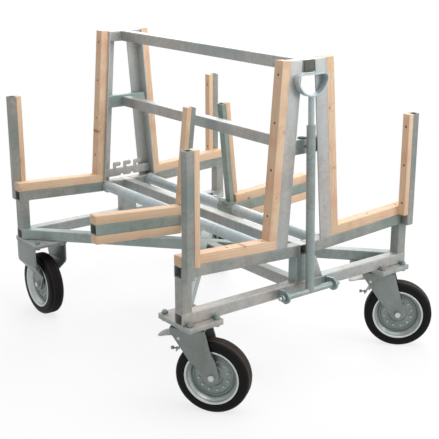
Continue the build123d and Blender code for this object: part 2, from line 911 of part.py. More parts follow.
with BuildPart() as far_axles:
    with Locations((-kingpin_x, -kingpin_y, 0), (-kingpin_x, kingpin_y, 0)):
        add(fixed_axle.part)
finish(far_axles, "far_axles")

# Drawbar: lugs on the near lower beam, pivot rod with nuts, tube on its sleeve, D-handle
lug_outer = lug_spacing / 2 + lug_thickness
with BuildPart() as drawbar_lugs:
    with BuildSketch(Plane.XZ.offset(-lug_outer)):
        with Locations((end_x + lug_root_depth / 2, base_middle)):
            Rectangle(lug_root_depth, lug_root_height)
        with Locations((pivot_x, pivot_z)):
            Circle(lug_radius)
        make_hull()
        with Locations((pivot_x, pivot_z)):
            Circle(pivot_diameter / 2, mode=Mode.SUBTRACT)
        with Locations((end_x - lug_radius, pivot_z)):
            Rectangle(2 * lug_radius, 4 * lug_radius, mode=Mode.SUBTRACT)
    extrude(amount=lug_thickness)
    mirror(about=Plane.XZ)
finish(drawbar_lugs, "drawbar_lugs")

pivot_half = lug_outer + pivot_nut_height + pivot_end
with BuildPart() as pivot_rod:
    with BuildSketch(along_y(pivot_x, -pivot_half, pivot_z)):
        Circle(pivot_diameter / 2)
    extrude(amount=2 * pivot_half)
finish(pivot_rod, "pivot_rod")

with BuildPart() as pivot_nuts:
    with BuildSketch(along_y(pivot_x, lug_outer, pivot_z)):
        RegularPolygon(pivot_nut_flats / 2, 6, major_radius=False)
        Circle(pivot_diameter / 2, mode=Mode.SUBTRACT)
    extrude(amount=pivot_nut_height)
    mirror(about=Plane.XZ)
finish(pivot_nuts, "pivot_nuts")

back = radians(drawbar_lean)
pivot_point = (pivot_x, 0, pivot_z)
drawbar_axis = (-sin(back), 0, cos(back))
drawbar_plane = Plane(origin=pivot_point, x_dir=(0, 1, 0), z_dir=drawbar_axis)
sleeve_half = lug_spacing / 2 - lug_side_gap
handle_top = (frame_height - handle_below_top - pivot_z) / cos(back)
handle_bottom = handle_top - handle_drop
drawbar_length = handle_bottom - shank_length
bowl_radius = (handle_half_width**2 + handle_drop**2) / (2 * handle_drop)
bowl_angle = degrees(atan2(handle_half_width, bowl_radius - handle_drop))

with BuildPart() as drawbar_tube:
    with BuildSketch(drawbar_plane):
        Circle(drawbar_diameter / 2)
    extrude(amount=drawbar_length)
    fillet(drawbar_tube.edges().group_by(Axis.Z)[-1], tube_end_edge)
    with BuildSketch(drawbar_plane):
        Circle(drawbar_diameter / 2 - drawbar_wall)
    extrude(amount=drawbar_length - drawbar_wall, mode=Mode.SUBTRACT)
    with BuildSketch(along_y(pivot_x, -sleeve_half, pivot_z)):
        Circle(sleeve_diameter / 2)
    extrude(amount=2 * sleeve_half)
    with BuildSketch(along_y(pivot_x, -sleeve_half, pivot_z)):
        Circle(pivot_diameter / 2 + pivot_clearance)
    extrude(amount=2 * sleeve_half, mode=Mode.SUBTRACT)
finish(drawbar_tube, "drawbar_tube")

with BuildPart() as drawbar_handle:
    with BuildSketch(Plane.XZ) as loop:
        with BuildLine():
            bowl = JernArc((0, 0), (1, 0), bowl_radius, bowl_angle)
            Line(bowl @ 1, (0, handle_drop))
            mirror(about=Plane.YZ)
        make_face()
        fillet(loop.vertices().filter_by(lambda v: abs(v.X) > handle_half_width / 2), handle_corner)
        offset(amount=-handle_strap, mode=Mode.SUBTRACT)
    extrude(amount=handle_depth / 2, both=True)
    with BuildSketch(Plane.XY.offset(-shank_length)):
        Circle(shank_diameter / 2)
    extrude(amount=shank_length + handle_strap / 2)
place(drawbar_handle, "drawbar_handle", drawbar_plane.offset(handle_bottom).location)

# Sliding middle supports, drawn for the right side at the middle of the trolley
slope = radians(support_tilt)
slant = radians(support_lean)
sleeve_radius = support_sleeve_diameter / 2
support_root = (0, deck_tube_y, deck_tube_z - support_drop)
support_arm_plane = Plane(origin=support_root, x_dir=(-1, 0, 0), z_dir=(0, cos(slope), sin(slope)))
support_leg_root = support_arm_plane.offset(support_leg_foot).origin
support_leg_plane = Plane(
    origin=support_leg_root,
    x_dir=(1, 0, 0),
    z_dir=(0, -sin(slant), cos(slant)),
).offset(tube / 2)
support_end = Plane(origin=(0, support_reach, 0), z_dir=(0, 1, 0))
clamp_plane = Plane(
    origin=(0, deck_tube_y, deck_tube_z),
    x_dir=(1, 0, 0),
    z_dir=(0, -cos(radians(clamp_angle)), sin(radians(clamp_angle))),
)
clamp_seat = sleeve_radius + clamp_boss_height
clamp_bore = clamp_screw_diameter / 2 + clamp_clearance


def cut_sleeve_space(radius):
    """Cut a cylinder about the deck tube's axis out of the active part."""
    with BuildSketch(along_x(-support_sleeve_length / 2, deck_tube_y, deck_tube_z)) as bore:
        Circle(radius)
    extrude(bore.sketch, amount=support_sleeve_length, mode=Mode.SUBTRACT)


with BuildPart() as support_sleeve:
    with BuildSketch(along_x(-support_sleeve_length / 2, deck_tube_y, deck_tube_z)):
        Circle(sleeve_radius)
    extrude(amount=support_sleeve_length)
    with BuildSketch(clamp_plane):
        Circle(clamp_boss_diameter / 2)
    extrude(amount=clamp_seat)
    with BuildSketch(clamp_plane):
        Circle(clamp_bore)
    extrude(amount=2 * clamp_seat, mode=Mode.SUBTRACT)
    cut_sleeve_space(deck_tube_diameter / 2 + sleeve_clearance)

with BuildPart() as support_arm:
    with BuildSketch(support_arm_plane):
        frame_section()
    extrude(amount=frame_width)
    split(bisect_by=support_end, keep=Keep.BOTTOM)
    cut_sleeve_space(sleeve_radius)

with BuildPart() as support_leg_tube:
    with BuildSketch(support_leg_plane):
        box_section(support_leg, support_leg_depth, support_leg_wall, stake_corner)
    extrude(amount=support_leg_length)
    cut_sleeve_space(sleeve_radius)

with BuildPart() as support_timbers:
    with BuildSketch(support_arm_plane.offset(over_timber_start)):
        with Locations((0, tube / 2 + timber / 2)):
            Rectangle(tube, timber)
    extrude(amount=frame_width)
    with BuildSketch(support_arm_plane.offset(under_timber_start)):
        with Locations((0, -tube / 2 - timber / 2)):
            Rectangle(tube, timber)
    extrude(amount=frame_width)
    split(bisect_by=support_end, keep=Keep.BOTTOM)

with BuildPart() as support_leg_strip:
    with BuildSketch(support_leg_plane.offset(timber + leg_strip_gap)):
        with Locations((0, support_leg_depth / 2 + support_leg_timber / 2)):
            Rectangle(support_leg, support_leg_timber)
    extrude(amount=support_leg_length - timber - leg_strip_gap)

with BuildPart() as clamp_screw:
    with BuildSketch(clamp_plane.offset(deck_tube_diameter / 2 + clamp_tip_gap)):
        Circle(clamp_screw_diameter / 2)
    extrude(amount=clamp_seat + clamp_neck - deck_tube_diameter / 2 - clamp_tip_gap)
    with BuildSketch(clamp_plane.offset(clamp_seat + clamp_neck)):
        Circle(clamp_head_diameter / 2)
    extrude(amount=clamp_head_height)
    bar_centre = clamp_plane.offset(clamp_seat + clamp_neck + clamp_head_height / 2).origin
    with BuildSketch(Plane(origin=bar_centre, z_dir=(1, 0, 0))):
        Circle(clamp_bar_diameter / 2)
    extrude(amount=clamp_bar_length / 2, both=True)


def place_support(piece, side):
    """Set a copy of a support piece on its deck tube, mirrored on the left side."""
    support_x = {"left": left_support_x, "right": right_support_x}[side]
    with BuildPart() as placed:
        with Locations((support_x, 0, 0)):
            if side == "left":
                add(mirror(piece.part, about=Plane.XZ, mode=Mode.PRIVATE))
            else:
                add(piece.part)
    return placed


for side in SIDES:
    steel = [place_support(piece, side) for piece in (support_sleeve, support_arm, support_leg_tube)]
    wood = [place_support(piece, side) for piece in (support_timbers, support_leg_strip)]
    finish_group(f"{side}_support_frame", *steel)
    finish_group(f"{side}_support_timbers", *wood)
    finish(place_support(clamp_screw, side), f"{side}_clamp_screw")
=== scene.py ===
"""Slab trolley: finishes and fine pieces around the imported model, in its frame, in metres."""

import contextlib
import functools
import json
import logging
import math
from dataclasses import dataclass
from enum import Enum
from typing import Callable, Iterator, Sequence

import bmesh
import bpy
from mathutils import Matrix, Vector

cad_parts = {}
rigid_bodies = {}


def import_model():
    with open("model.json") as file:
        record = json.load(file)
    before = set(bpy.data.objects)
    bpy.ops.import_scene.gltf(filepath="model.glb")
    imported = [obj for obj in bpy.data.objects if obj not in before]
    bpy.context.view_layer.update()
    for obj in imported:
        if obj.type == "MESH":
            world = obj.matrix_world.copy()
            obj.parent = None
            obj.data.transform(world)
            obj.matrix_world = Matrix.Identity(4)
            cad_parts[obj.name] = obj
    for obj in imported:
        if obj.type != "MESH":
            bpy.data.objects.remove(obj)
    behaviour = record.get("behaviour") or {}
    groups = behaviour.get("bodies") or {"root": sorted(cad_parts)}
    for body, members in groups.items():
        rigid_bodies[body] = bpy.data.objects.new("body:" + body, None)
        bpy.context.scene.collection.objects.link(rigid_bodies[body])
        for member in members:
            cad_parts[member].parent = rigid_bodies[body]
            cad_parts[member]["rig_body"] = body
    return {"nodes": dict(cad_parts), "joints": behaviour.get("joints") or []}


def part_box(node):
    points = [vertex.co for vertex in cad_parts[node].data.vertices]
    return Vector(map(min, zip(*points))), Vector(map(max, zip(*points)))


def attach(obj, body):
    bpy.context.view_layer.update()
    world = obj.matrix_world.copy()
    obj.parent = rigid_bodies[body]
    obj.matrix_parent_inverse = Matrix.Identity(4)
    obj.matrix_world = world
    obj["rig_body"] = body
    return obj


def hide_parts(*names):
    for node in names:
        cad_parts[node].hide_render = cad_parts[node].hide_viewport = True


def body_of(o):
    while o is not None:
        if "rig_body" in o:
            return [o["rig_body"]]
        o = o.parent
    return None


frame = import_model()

LOG = logging.getLogger("slab_trolley")
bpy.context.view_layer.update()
MM = 0.001
MERGE_GAP = 1e-5
OUTLINE_GAP = 1e-6
FLAT_ANGLE = math.radians(0.5)
SHARP_ANGLE = math.radians(35)
QUARTER_TURN = math.radians(90)
ARC_STEPS = 4

Piece = bpy.types.Object
Material = bpy.types.Material
Colour = tuple[float, float, float]
Point = tuple[float, float, float]
Band = tuple[float, float]
Shares = tuple[float, ...]
Names = tuple[str, ...]
Relief = tuple[float, float]
Profile = list[tuple[float, float]]
Corner = tuple[float, float, float]


class Slot(Enum):
    """Material slots of the record."""

    GALVANISED = "galvanised"
    ZINC = "zinc_plated"
    PLASTIC = "grey_plastic"
    TIMBER = "timber"
    TYRE = "tyre"


class Side(Enum):
    """Sides of the A-frame, each with one middle support."""

    LEFT = "left"
    RIGHT = "right"


class Sock:
    """A shader socket that can be used in Python arithmetic."""

    def __init__(self, graph: "Graph", socket: bpy.types.NodeSocket) -> None:
        """Wrap a socket of a graph."""
        self.graph = graph
        self.socket = socket

    def _math(self, operation: str, *values: "Sock | float") -> "Sock":
        """Output of a new Math node with this operation and these inputs, in order."""
        return self.graph.add("ShaderNodeMath", {"operation": operation}, dict(enumerate(values)))

    def __add__(self, other: "Sock | float") -> "Sock":
        """Sum."""
        return self._math("ADD", self, other)

    def __rsub__(self, other: float) -> "Sock":
        """Difference from a number."""
        return self._math("SUBTRACT", other, self)

    def __mul__(self, other: "Sock | float") -> "Sock":
        """Product."""
        return self._math("MULTIPLY", self, other)

    def __pow__(self, other: float) -> "Sock":
        """Power."""
        return self._math("POWER", self, other)

    __radd__ = __add__
    __rmul__ = __mul__

    def sine(self) -> "Sock":
        """Sine."""
        return self._math("SINE", self)

    def larger(self, other: "Sock | float") -> "Sock":
        """The larger of two values."""
        return self._math("MAXIMUM", self, other)

    def hypotenuse(self, other: "Sock") -> "Sock":
        """Length of a vector with these two parts."""
        return (self ** 2.0 + other ** 2.0) ** 0.5

    def band(self, low: float, high: float) -> "Sock":
        """Smooth step from 0 at low to 1 at high.

        Args:
            low: value that gives 0.
            high: value that gives 1.

        Returns:
            The stepped value.
        """
        settings = {"interpolation_type": "SMOOTHSTEP"}
        inputs = {"Value": self, "From Min": low, "From Max": high}
        return self.graph.add("ShaderNodeMapRange", settings, inputs)


def weighted(shares: Shares, *values: Sock) -> Sock:
    """Sum of values, each times its share."""
    terms = [share * value for share, value in zip(shares, values)]
    return sum(terms[1:], terms[0])


@dataclass(frozen=True)
class Noise:
    """A noise pattern: cells per metre, number of finer layers and their weight."""

    scale: float
    detail: float = 3.0
    rough: float = 0.5


class Graph:
    """The node graph of a material or of the world."""

    COLOUR_FACTOR, COLOUR_A, COLOUR_B, COLOUR_RESULT = 0, 6, 7, 2

    def __init__(self, owner: Material | bpy.types.World) -> None:
        """Start with an empty graph.

        Args:
            owner: the material or world that the nodes belong to.
        """
        owner.use_nodes = True
        self.tree = owner.node_tree
        self.tree.nodes.clear()

    def feed(self, node: bpy.types.Node, key: str | int, value: object) -> None:
        """Set or link one input of a node.

        Args:
            node: the node.
            key: the input's name or index.
            value: a number, colour, vector or Sock.
        """
        if isinstance(value, Sock):
            self.tree.links.new(value.socket, node.inputs[key])
        else:
            node.inputs[key].default_value = value

    def make(self, kind: str, settings: dict | None = None,
             inputs: dict | None = None) -> bpy.types.Node:
        """Make a node.

        Args:
            kind: the node's type.
            settings: attributes to set first.
            inputs: values or links of its sockets.

        Returns:
            The node.
        """
        node = self.tree.nodes.new(kind)
        for key, value in (settings or {}).items():
            setattr(node, key, value)
        for key, value in (inputs or {}).items():
            self.feed(node, key, value)
        return node

    def add(self, kind: str, settings: dict | None = None, inputs: dict | None = None,
            output: str | int = 0) -> Sock:
        """Make a node, as make does, and hand on one of its outputs."""
        return Sock(self, self.make(kind, settings, inputs).outputs[output])

    def parts(self, vector: Sock) -> tuple[Sock, Sock, Sock]:
        """The X, Y and Z parts of a vector."""
        node = self.make("ShaderNodeSeparateXYZ", None, {0: vector})
        return tuple(Sock(self, socket) for socket in node.outputs)

    def shows_background(self) -> Sock:
        """Tell the rays that show the background, seen, mirrored or refracted, from light.

        Returns:
            A value of 1 for those rays and 0 for the others.
        """
        path = self.make("ShaderNodeLightPath")
        rays = ("Is Camera Ray", "Is Glossy Ray", "Is Transmission Ray")
        seen, mirrored, refracted = (Sock(self, path.outputs[ray]) for ray in rays)
        return seen.larger(mirrored).larger(refracted)


class Coat(Graph):
    """The graph of one material with a Principled shader."""

    def __init__(self, name: str) -> None:
        """Start a material.

        Args:
            name: the material's name.
        """
        self.material = bpy.data.materials.new(name)
        super().__init__(self.material)
        self.shader = self.make("ShaderNodeBsdfPrincipled")
        self.surface = Sock(self, self.shader.outputs[0])
        self.output = self.make("ShaderNodeOutputMaterial", None, {0: self.surface})
        self.place = self.add("ShaderNodeTexCoord", output="Object")

    def mix(self, factor: Sock | float, low: Sock | Colour, high: Sock | Colour) -> Sock:
        """Mix two colours.

        Args:
            factor: 0 for the first colour, 1 for the second.
            low: first colour.
            high: second colour.

        Returns:
            The mixed colour.
        """
        ends = [c if isinstance(c, Sock) else (*c, 1.0) for c in (low, high)]
        inputs = {self.COLOUR_FACTOR: factor, self.COLOUR_A: ends[0], self.COLOUR_B: ends[1]}
        settings = {"data_type": "RGBA", "clamp_factor": True}
        return self.add("ShaderNodeMix", settings, inputs, self.COLOUR_RESULT)

    def mapped(self, turn: Point = (0, 0, 0), stretch: Point = (1, 1, 1),
               shift: Point = (0, 0, 0)) -> Sock:
        """Object coordinates, stretched, then turned by Euler angles, then shifted."""
        inputs = {"Vector": self.place, "Rotation": turn, "Scale": stretch, "Location": shift}
        return self.add("ShaderNodeMapping", None, inputs)

    def about_axle(self, centre: Point, turn: float) -> tuple[Sock, Sock]:
        """Distance from a wheel's axle and offset along it.

        Args:
            centre: the wheel's middle.
            turn: angle of the wheel about Z, in radians.

        Returns:
            The radius and the offset.
        """
        inputs = {"Vector": self.place, "Location": centre, "Rotation": (0, 0, turn)}
        settled = self.add("ShaderNodeMapping", {"vector_type": "TEXTURE"}, inputs)
        along, offset, up = self.parts(settled)
        return along.hypotenuse(up), offset

    def noise(self, pattern: Noise, vector: Sock | None = None) -> Sock:
        """Noise value.

        Args:
            pattern: the noise's scale and layers.
            vector: where to read it, or None for the object coordinates.

        Returns:
            A value about 0.5.
        """
        inputs = {
            "Vector": vector or self.place, "Scale": pattern.scale, "Detail": pattern.detail,
            "Roughness": pattern.rough,
        }
        return self.add("ShaderNodeTexNoise", None, inputs, "Fac")

    def cells(self, vector: Sock, scale: float, output: str = "Distance") -> Sock:
        """Distance or Color of Voronoi cells, with their number per metre as scale."""
        return self.add("ShaderNodeTexVoronoi", None, {"Vector": vector, "Scale": scale}, output)

    def grey(self, colour: Sock) -> Sock:
        """Brightness of a colour."""
        return self.add("ShaderNodeRGBToBW", None, {"Color": colour})

    def bump(self, height: Sock, strength: float, distance: float) -> None:
        """Feed a bump to the shader, with the height of a value of 1 as distance."""
        inputs = {"Height": height, "Strength": strength, "Distance": distance}
        self.feed(self.shader, "Normal", self.add("ShaderNodeBump", None, inputs))

    def finish(self, **inputs: object) -> Material:
        """Set the shader's inputs.

        Args:
            inputs: values by socket name, with _ for a space.

        Returns:
            The material.
        """
        for key, value in inputs.items():
            self.feed(self.shader, key.replace("_", " "), value)
        return self.material


@dataclass(frozen=True)
class ZincFinish:
    """Zinc-coated steel: faint crystals, clouding, runs and a fine grain."""

    name: str
    dark: Colour
    light: Colour
    tint: Colour
    roughness: float = 0.34
    metallic: float = 0.30
    tint_share: float = 0.70
    crystal_share: float = 0.16
    layer_shares: Shares = (0.50, 0.28, 0.14)
    blush: Colour = (1.06, 0.98, 0.93)
    blush_share: float = 0.8
    crystal_scale: float = 95.0
    cloud: Noise = Noise(6.0, 4.0, 0.6)
    run: Noise = Noise(1.0)
    run_stretch: Point = (30.0, 30.0, 4.0)
    speck: Noise = Noise(260.0, 2.0)
    grain: Noise = Noise(900.0, 2.0)
    drift: Noise = Noise(4.2, 3.0, 0.55)
    drift_shift: Point = (3.1, 1.7, 0.4)
    tone_band: Band = (0.32, 0.72)
    plain_band: Band = (0.34, 0.50)
    tint_band: Band = (0.46, 0.66)
    bump_shares: Shares = (0.7, 0.3)
    relief: Relief = (0.10, 0.0004)
    rough_shares: Shares = (0.16, 0.08)

    def material(self) -> Material:
        """Draw the crystals, clouds and runs between the dark and the light zinc.

        Returns:
            The material.
        """
        graph = Coat(self.name)
        crystals = graph.grey(graph.cells(graph.place, self.crystal_scale, "Color"))
        cloud = graph.noise(self.cloud)
        runs = graph.noise(self.run, graph.mapped(stretch=self.run_stretch))
        specks = graph.noise(self.speck)
        drift = graph.noise(self.drift, graph.mapped(shift=self.drift_shift))
        shares = (self.crystal_share, *self.layer_shares)
        tone = weighted(shares, crystals, cloud, runs, specks).band(*self.tone_band)
        warm_dark, warm_light = (
            tuple(a * b for a, b in zip(colour, self.blush)) for colour in (self.dark, self.light)
        )
        plain = graph.mix(tone, self.dark, self.light)
        warm = graph.mix(tone, warm_dark, warm_light)
        blushed = graph.mix(self.blush_share * (1 - drift.band(*self.plain_band)), plain, warm)
        graph.bump(weighted(self.bump_shares, graph.noise(self.grain), crystals), *self.relief)
        return graph.finish(
            Base_Color=graph.mix(self.tint_share * drift.band(*self.tint_band), blushed, self.tint),
            Roughness=self.roughness + weighted(self.rough_shares, cloud, crystals),
            Metallic=self.metallic,
        )


@dataclass(frozen=True)
class TimberFinish:
    """Planed softwood with growth rings, fibres and knots along one direction."""

    name: str
    turn: Point
    early: Colour = (0.88, 0.64, 0.435)
    late: Colour = (0.75, 0.46, 0.28)
    knot: Colour = (0.36, 0.17, 0.08)
    rosy: Colour = (0.76, 0.40, 0.26)
    ring_spacing: float = 0.0065
    pith: tuple[float, float] = (0.11, 0.07)
    knot_stretch: Point = (2.6, 13.0, 13.0)
    knot_band: Band = (0.06, 0.12)
    knot_share: float = 0.75
    halo_band: Band = (0.08, 0.34)
    sway_stretch: Point = (3.0, 14.0, 14.0)
    reach_shares: Shares = (1.0, 0.016, 0.010)
    fibre_stretch: Point = (9.0, 420.0, 420.0)
    blush_stretch: Point = (1.6, 9.0, 9.0)
    blush_band: Band = (0.50, 0.72)
    blush_share: float = 0.55
    streak: Noise = Noise(1.0, 2.0)
    board: Noise = Noise(5.0, 1.0)
    tone_shares: Shares = (0.42, 0.30, 0.50, 0.25)
    tone_band: Band = (0.25, 1.25)
    bump_shares: Shares = (0.5, 0.5)
    relief: Relief = (0.18, 0.0008)
    roughness: float = 0.58
    fibre_rough: float = 0.16

    def material(self) -> Material:
        """Draw growth rings along local X after the turn, with fibres, blush and knots.

        Returns:
            The material.
        """
        graph = Coat(self.name)

        def streaks(stretch: Point) -> Sock:
            """Noise drawn out along one axis."""
            return graph.noise(self.streak, graph.mapped(turn=self.turn, stretch=stretch))

        knots = graph.cells(graph.mapped(turn=self.turn, stretch=self.knot_stretch), 1.0)
        knot_mask = 1 - knots.band(*self.knot_band)
        halo = 1 - knots.band(*self.halo_band)
        _, across, up = graph.parts(graph.mapped(turn=self.turn))
        far = (across + self.pith[0]).hypotenuse(up + self.pith[1])
        reach = weighted(self.reach_shares, far, streaks(self.sway_stretch), halo)
        rings = 0.5 + 0.5 * (reach * (2 * math.pi / self.ring_spacing)).sine()
        fibre = streaks(self.fibre_stretch)
        board = graph.noise(self.board)
        tone = weighted(self.tone_shares, rings ** 2.0, fibre, board, halo).band(*self.tone_band)
        wood = graph.mix(tone, self.early, self.late)
        blush = streaks(self.blush_stretch).band(*self.blush_band)
        blushed = graph.mix(self.blush_share * blush, wood, self.rosy)
        graph.bump(weighted(self.bump_shares, fibre, rings), *self.relief)
        return graph.finish(
            Base_Color=graph.mix(self.knot_share * knot_mask, blushed, self.knot),
            Roughness=self.roughness + self.fibre_rough * fibre,
        )


@dataclass(frozen=True)
class RubberFinish:
    """Black tyre rubber with a dusty, worn tread."""

    name: str
    centre: Point
    turn: float
    dust: Colour
    black: Colour = (0.007, 0.007, 0.008)
    tread_band: Band = (0.1215, 0.1235)
    tread_half: float = 0.021
    tread_clear: float = 0.6
    patch: Noise = Noise(22.0, 4.0, 0.65)
    tread_dust: float = 0.45
    patch_dust: float = 0.80
    film: float = 0.02
    grain: Noise = Noise(700.0, 2.0)
    relief: Relief = (0.12, 0.0005)
    roughness: float = 0.50
    dust_rough: float = 0.25
    specular: float = 0.12

    def material(self) -> Material:
        """Draw the rubber, dusty on its running surface.

        Returns:
            The material.
        """
        graph = Coat(self.name)
        radius, offset = graph.about_axle(self.centre, self.turn)
        patches = graph.noise(self.patch)
        edge = self.tread_half ** 2
        width = 1 - (offset ** 2.0).band(self.tread_clear * edge, edge)
        worn = radius.band(*self.tread_band) * width
        dusty = worn * (self.tread_dust + self.patch_dust * patches) + self.film * patches
        graph.bump(graph.noise(self.grain), *self.relief)
        return graph.finish(
            Base_Color=graph.mix(dusty, self.black, self.dust),
            Roughness=self.roughness + self.dust_rough * dusty,
            Specular_IOR_Level=self.specular,
        )


@dataclass(frozen=True)
class RimFinish:
    """Zinc-plated pressed rim: dull web, painted reflection and highlight on the flange and lip,
    painted shade in the groove and patchy painted shade in the corner between web and flange.
    """

    name: str
    centre: Point
    turn: float
    web_dark: Colour = (0.19, 0.225, 0.21)
    web_light: Colour = (0.31, 0.345, 0.33)
    # painted reflection and highlight: the flange is drawn brighter than the web
    flange_sheen: Colour = (0.44, 0.48, 0.47)
    flange_highlight: Colour = (0.74, 0.77, 0.76)
    # painted highlight along the lip
    lip_highlight: Colour = (0.62, 0.66, 0.65)
    # painted shade in the groove between web and flange
    groove_shade: Colour = (0.12, 0.185, 0.18)
    # painted shade in the corner between web and flange
    corner_shade: Colour = (0.07, 0.075, 0.068)
    outer_band: Band = (0.0690, 0.0720)
    flange_band: Band = (0.0720, 0.0775)
    lip_band: Band = (0.0820, 0.0880)
    corner_shade_band: Band = (0.056, 0.0645)
    corner_shade_fade_band: Band = (0.0650, 0.0665)
    # share of the painted highlight on flange and lip
    highlight_share: float = 0.7
    corner_shade_share: float = 0.6
    cloud: Noise = Noise(16.0, 4.0, 0.6)
    mark: Noise = Noise(900.0, 2.0)
    tone_shares: Shares = (0.65, 0.35)
    tone_band: Band = (0.36, 0.66)
    grime_band: Band = (0.35, 0.62)
    bump_shares: Shares = (0.4, 0.6)
    relief: Relief = (0.10, 0.0003)
    roughness: float = 0.36
    rough_shares: Shares = (-0.12, 0.14, 0.2)
    metallic: float = 0.55

    def material(self) -> Material:
        """Draw web, groove, flange, lip and corner by their distance from the axle, with painted
        highlight on flange and lip and painted shade in groove and corner.

        Returns:
            The material.
        """
        graph = Coat(self.name)
        radius, offset = graph.about_axle(self.centre, self.turn)
        outer = radius.band(*self.outer_band)
        cloud = graph.noise(self.cloud)
        ringed = graph.add("ShaderNodeCombineXYZ", None, {0: radius, 1: offset})
        marks = graph.noise(self.mark, ringed)
        tone = weighted(self.tone_shares, cloud, marks).band(*self.tone_band)
        web = graph.mix(tone, self.web_dark, self.web_light)
        clear = radius.band(*self.flange_band)
        # painted shade in the groove, giving way to the painted reflection on the flange
        rising = graph.mix(clear, self.groove_shade, self.flange_sheen)
        # painted highlight on the flange, patchy with the tone
        flange = graph.mix(self.highlight_share * tone * clear, rising, self.flange_highlight)
        # painted highlight along the lip
        edged = graph.mix(self.highlight_share * radius.band(*self.lip_band), flange, self.lip_highlight)
        # patchy painted shade in the corner where the web meets the step
        corner = radius.band(*self.corner_shade_band) * (1 - radius.band(*self.corner_shade_fade_band))
        corner_shade_patches = corner * cloud.band(*self.grime_band)
        rim_tones = graph.mix(outer, web, edged)
        graph.bump(weighted(self.bump_shares, cloud, marks), *self.relief)
        # the base colour takes the painted corner shade over the rim tones
        return graph.finish(
            Base_Color=graph.mix(self.corner_shade_share * corner_shade_patches, rim_tones, self.corner_shade),
            Roughness=self.roughness + weighted(self.rough_shares, outer, cloud, corner_shade_patches),
            Metallic=self.metallic,
        )


@dataclass(frozen=True)
class DullFinish:
    """Moulded plastic with rubbed patches."""

    name: str
    colour: Colour
    worn: Colour
    roughness: float
    patch: Noise = Noise(60.0, 4.0, 0.6)
    worn_band: Band = (0.55, 0.80)
    grain: Noise = Noise(800.0, 1.0)
    grain_rough: float = 0.20
    relief: Relief = (0.10, 0.0004)

    def material(self) -> Material:
        """Draw the plastic, paler where it is rubbed.

        Returns:
            The material.
        """
        graph = Coat(self.name)
        rubbed = graph.noise(self.patch).band(*self.worn_band)
        grain = graph.noise(self.grain)
        graph.bump(grain, *self.relief)
        return graph.finish(
            Base_Color=graph.mix(rubbed, self.colour, self.worn),
            Roughness=self.roughness + self.grain_rough * grain,
        )


Finish = ZincFinish | TimberFinish | RubberFinish | RimFinish | DullFinish


def lay_down() -> None:
    """Leave edit mode and deselect everything."""
    if bpy.context.mode != "OBJECT":
        bpy.ops.object.mode_set(mode="OBJECT")
    bpy.ops.object.select_all(action="DESELECT")


def pick(obj: Piece) -> None:
    """Select one object alone and make it active.

    Args:
        obj: the object.
    """
    lay_down()
    obj.select_set(True)
    bpy.context.view_layer.objects.active = obj


@contextlib.contextmanager
def editing(obj: Piece) -> Iterator[None]:
    """Edit mode on one object with everything selected.

    Args:
        obj: the mesh object.

    Yields:
        Nothing, while edit mode lasts.
    """
    pick(obj)
    bpy.ops.object.mode_set(mode="EDIT")
    bpy.ops.mesh.select_all(action="SELECT")
    yield
    bpy.ops.object.mode_set(mode="OBJECT")


def choose(obj: Piece, test: Callable[[Vector], bool]) -> None:
    """In edit mode, select the points that pass a test, with the edges between them.

    Args:
        obj: the mesh object being edited.
        test: takes a point's place.
    """
    bpy.ops.mesh.select_mode(type="VERT")
    bpy.ops.mesh.select_all(action="DESELECT")
    mesh = bmesh.from_edit_mesh(obj.data)
    for point in mesh.verts:
        point.select = test(point.co)
    mesh.select_flush(True)
    bmesh.update_edit_mesh(obj.data)


def seal(obj: Piece) -> None:
    """Merge doubled points and turn all faces outwards.

    Args:
        obj: the mesh object.
    """
    with editing(obj):
        bpy.ops.mesh.remove_doubles(threshold=MERGE_GAP)
        bpy.ops.mesh.normals_make_consistent(inside=False)


def settle(obj: Piece, place: Matrix | None = None) -> None:
    """Move the object's place and turn into its mesh.

    Args:
        obj: the mesh object.
        place: where it goes first, or None if it is there already.
    """
    if place is not None:
        obj.matrix_world = place
    pick(obj)
    bpy.ops.object.transform_apply(location=True, rotation=True, scale=True)


def smooth(obj: Piece, angle: float) -> None:
    """Shade smoothly across all edges but those sharper than an angle, in radians."""
    pick(obj)
    bpy.ops.object.shade_smooth_by_angle(angle=angle)


def soften(obj: Piece, width: float, segments: int = 2) -> None:
    """Round the sharp edges and smooth the shading.

    Args:
        obj: the mesh object.
        width: width of the rounding.
        segments: facets across it.
    """
    pick(obj)
    bevel = obj.modifiers.new("round_edges", "BEVEL")
    bevel.width = width
    bevel.segments = segments
    bevel.limit_method = "ANGLE"
    bevel.angle_limit = SHARP_ANGLE
    bpy.ops.object.modifier_apply(modifier=bevel.name)
    smooth(obj, SHARP_ANGLE)


def block(size: Point, middle: Point, lean: float = 0.0) -> Piece:
    """Make a box.

    Args:
        size: its length along each axis.
        middle: its middle.
        lean: its turn about Y, in radians.

    Returns:
        The new object.
    """
    lay_down()
    bpy.ops.mesh.primitive_cube_add(size=1.0, location=middle, rotation=(0, lean, 0), scale=size)
    obj = bpy.context.object
    settle(obj)
    return obj


def revolve(name: str, profile: Profile, steps: int) -> Piece:
    """Spin a closed outline about the Y axis.

    Args:
        name: name of the new object.
        profile: radius and offset along Y of each corner, in order.
        steps: facets around.

    Returns:
        The new object, about the origin.
    """
    lay_down()
    bpy.ops.mesh.primitive_plane_add(size=1.0)
    obj = bpy.context.object
    obj.name = obj.data.name = name
    with editing(obj):
        bpy.ops.mesh.merge(type="CENTER")
        last = Vector((*profile[0], 0))
        bpy.ops.transform.translate(value=last)
        for point in [*profile[1:], profile[0]]:
            corner = Vector((*point, 0))
            move = {"value": corner - last}
            bpy.ops.mesh.extrude_vertices_move(TRANSFORM_OT_translate=move)
            last = corner
        bpy.ops.mesh.select_all(action="SELECT")
        bpy.ops.mesh.remove_doubles(threshold=OUTLINE_GAP)
        bpy.ops.mesh.spin(steps=steps, angle=2 * math.pi, center=(0, 0, 0), axis=(0, 1, 0))
    seal(obj)
    return obj


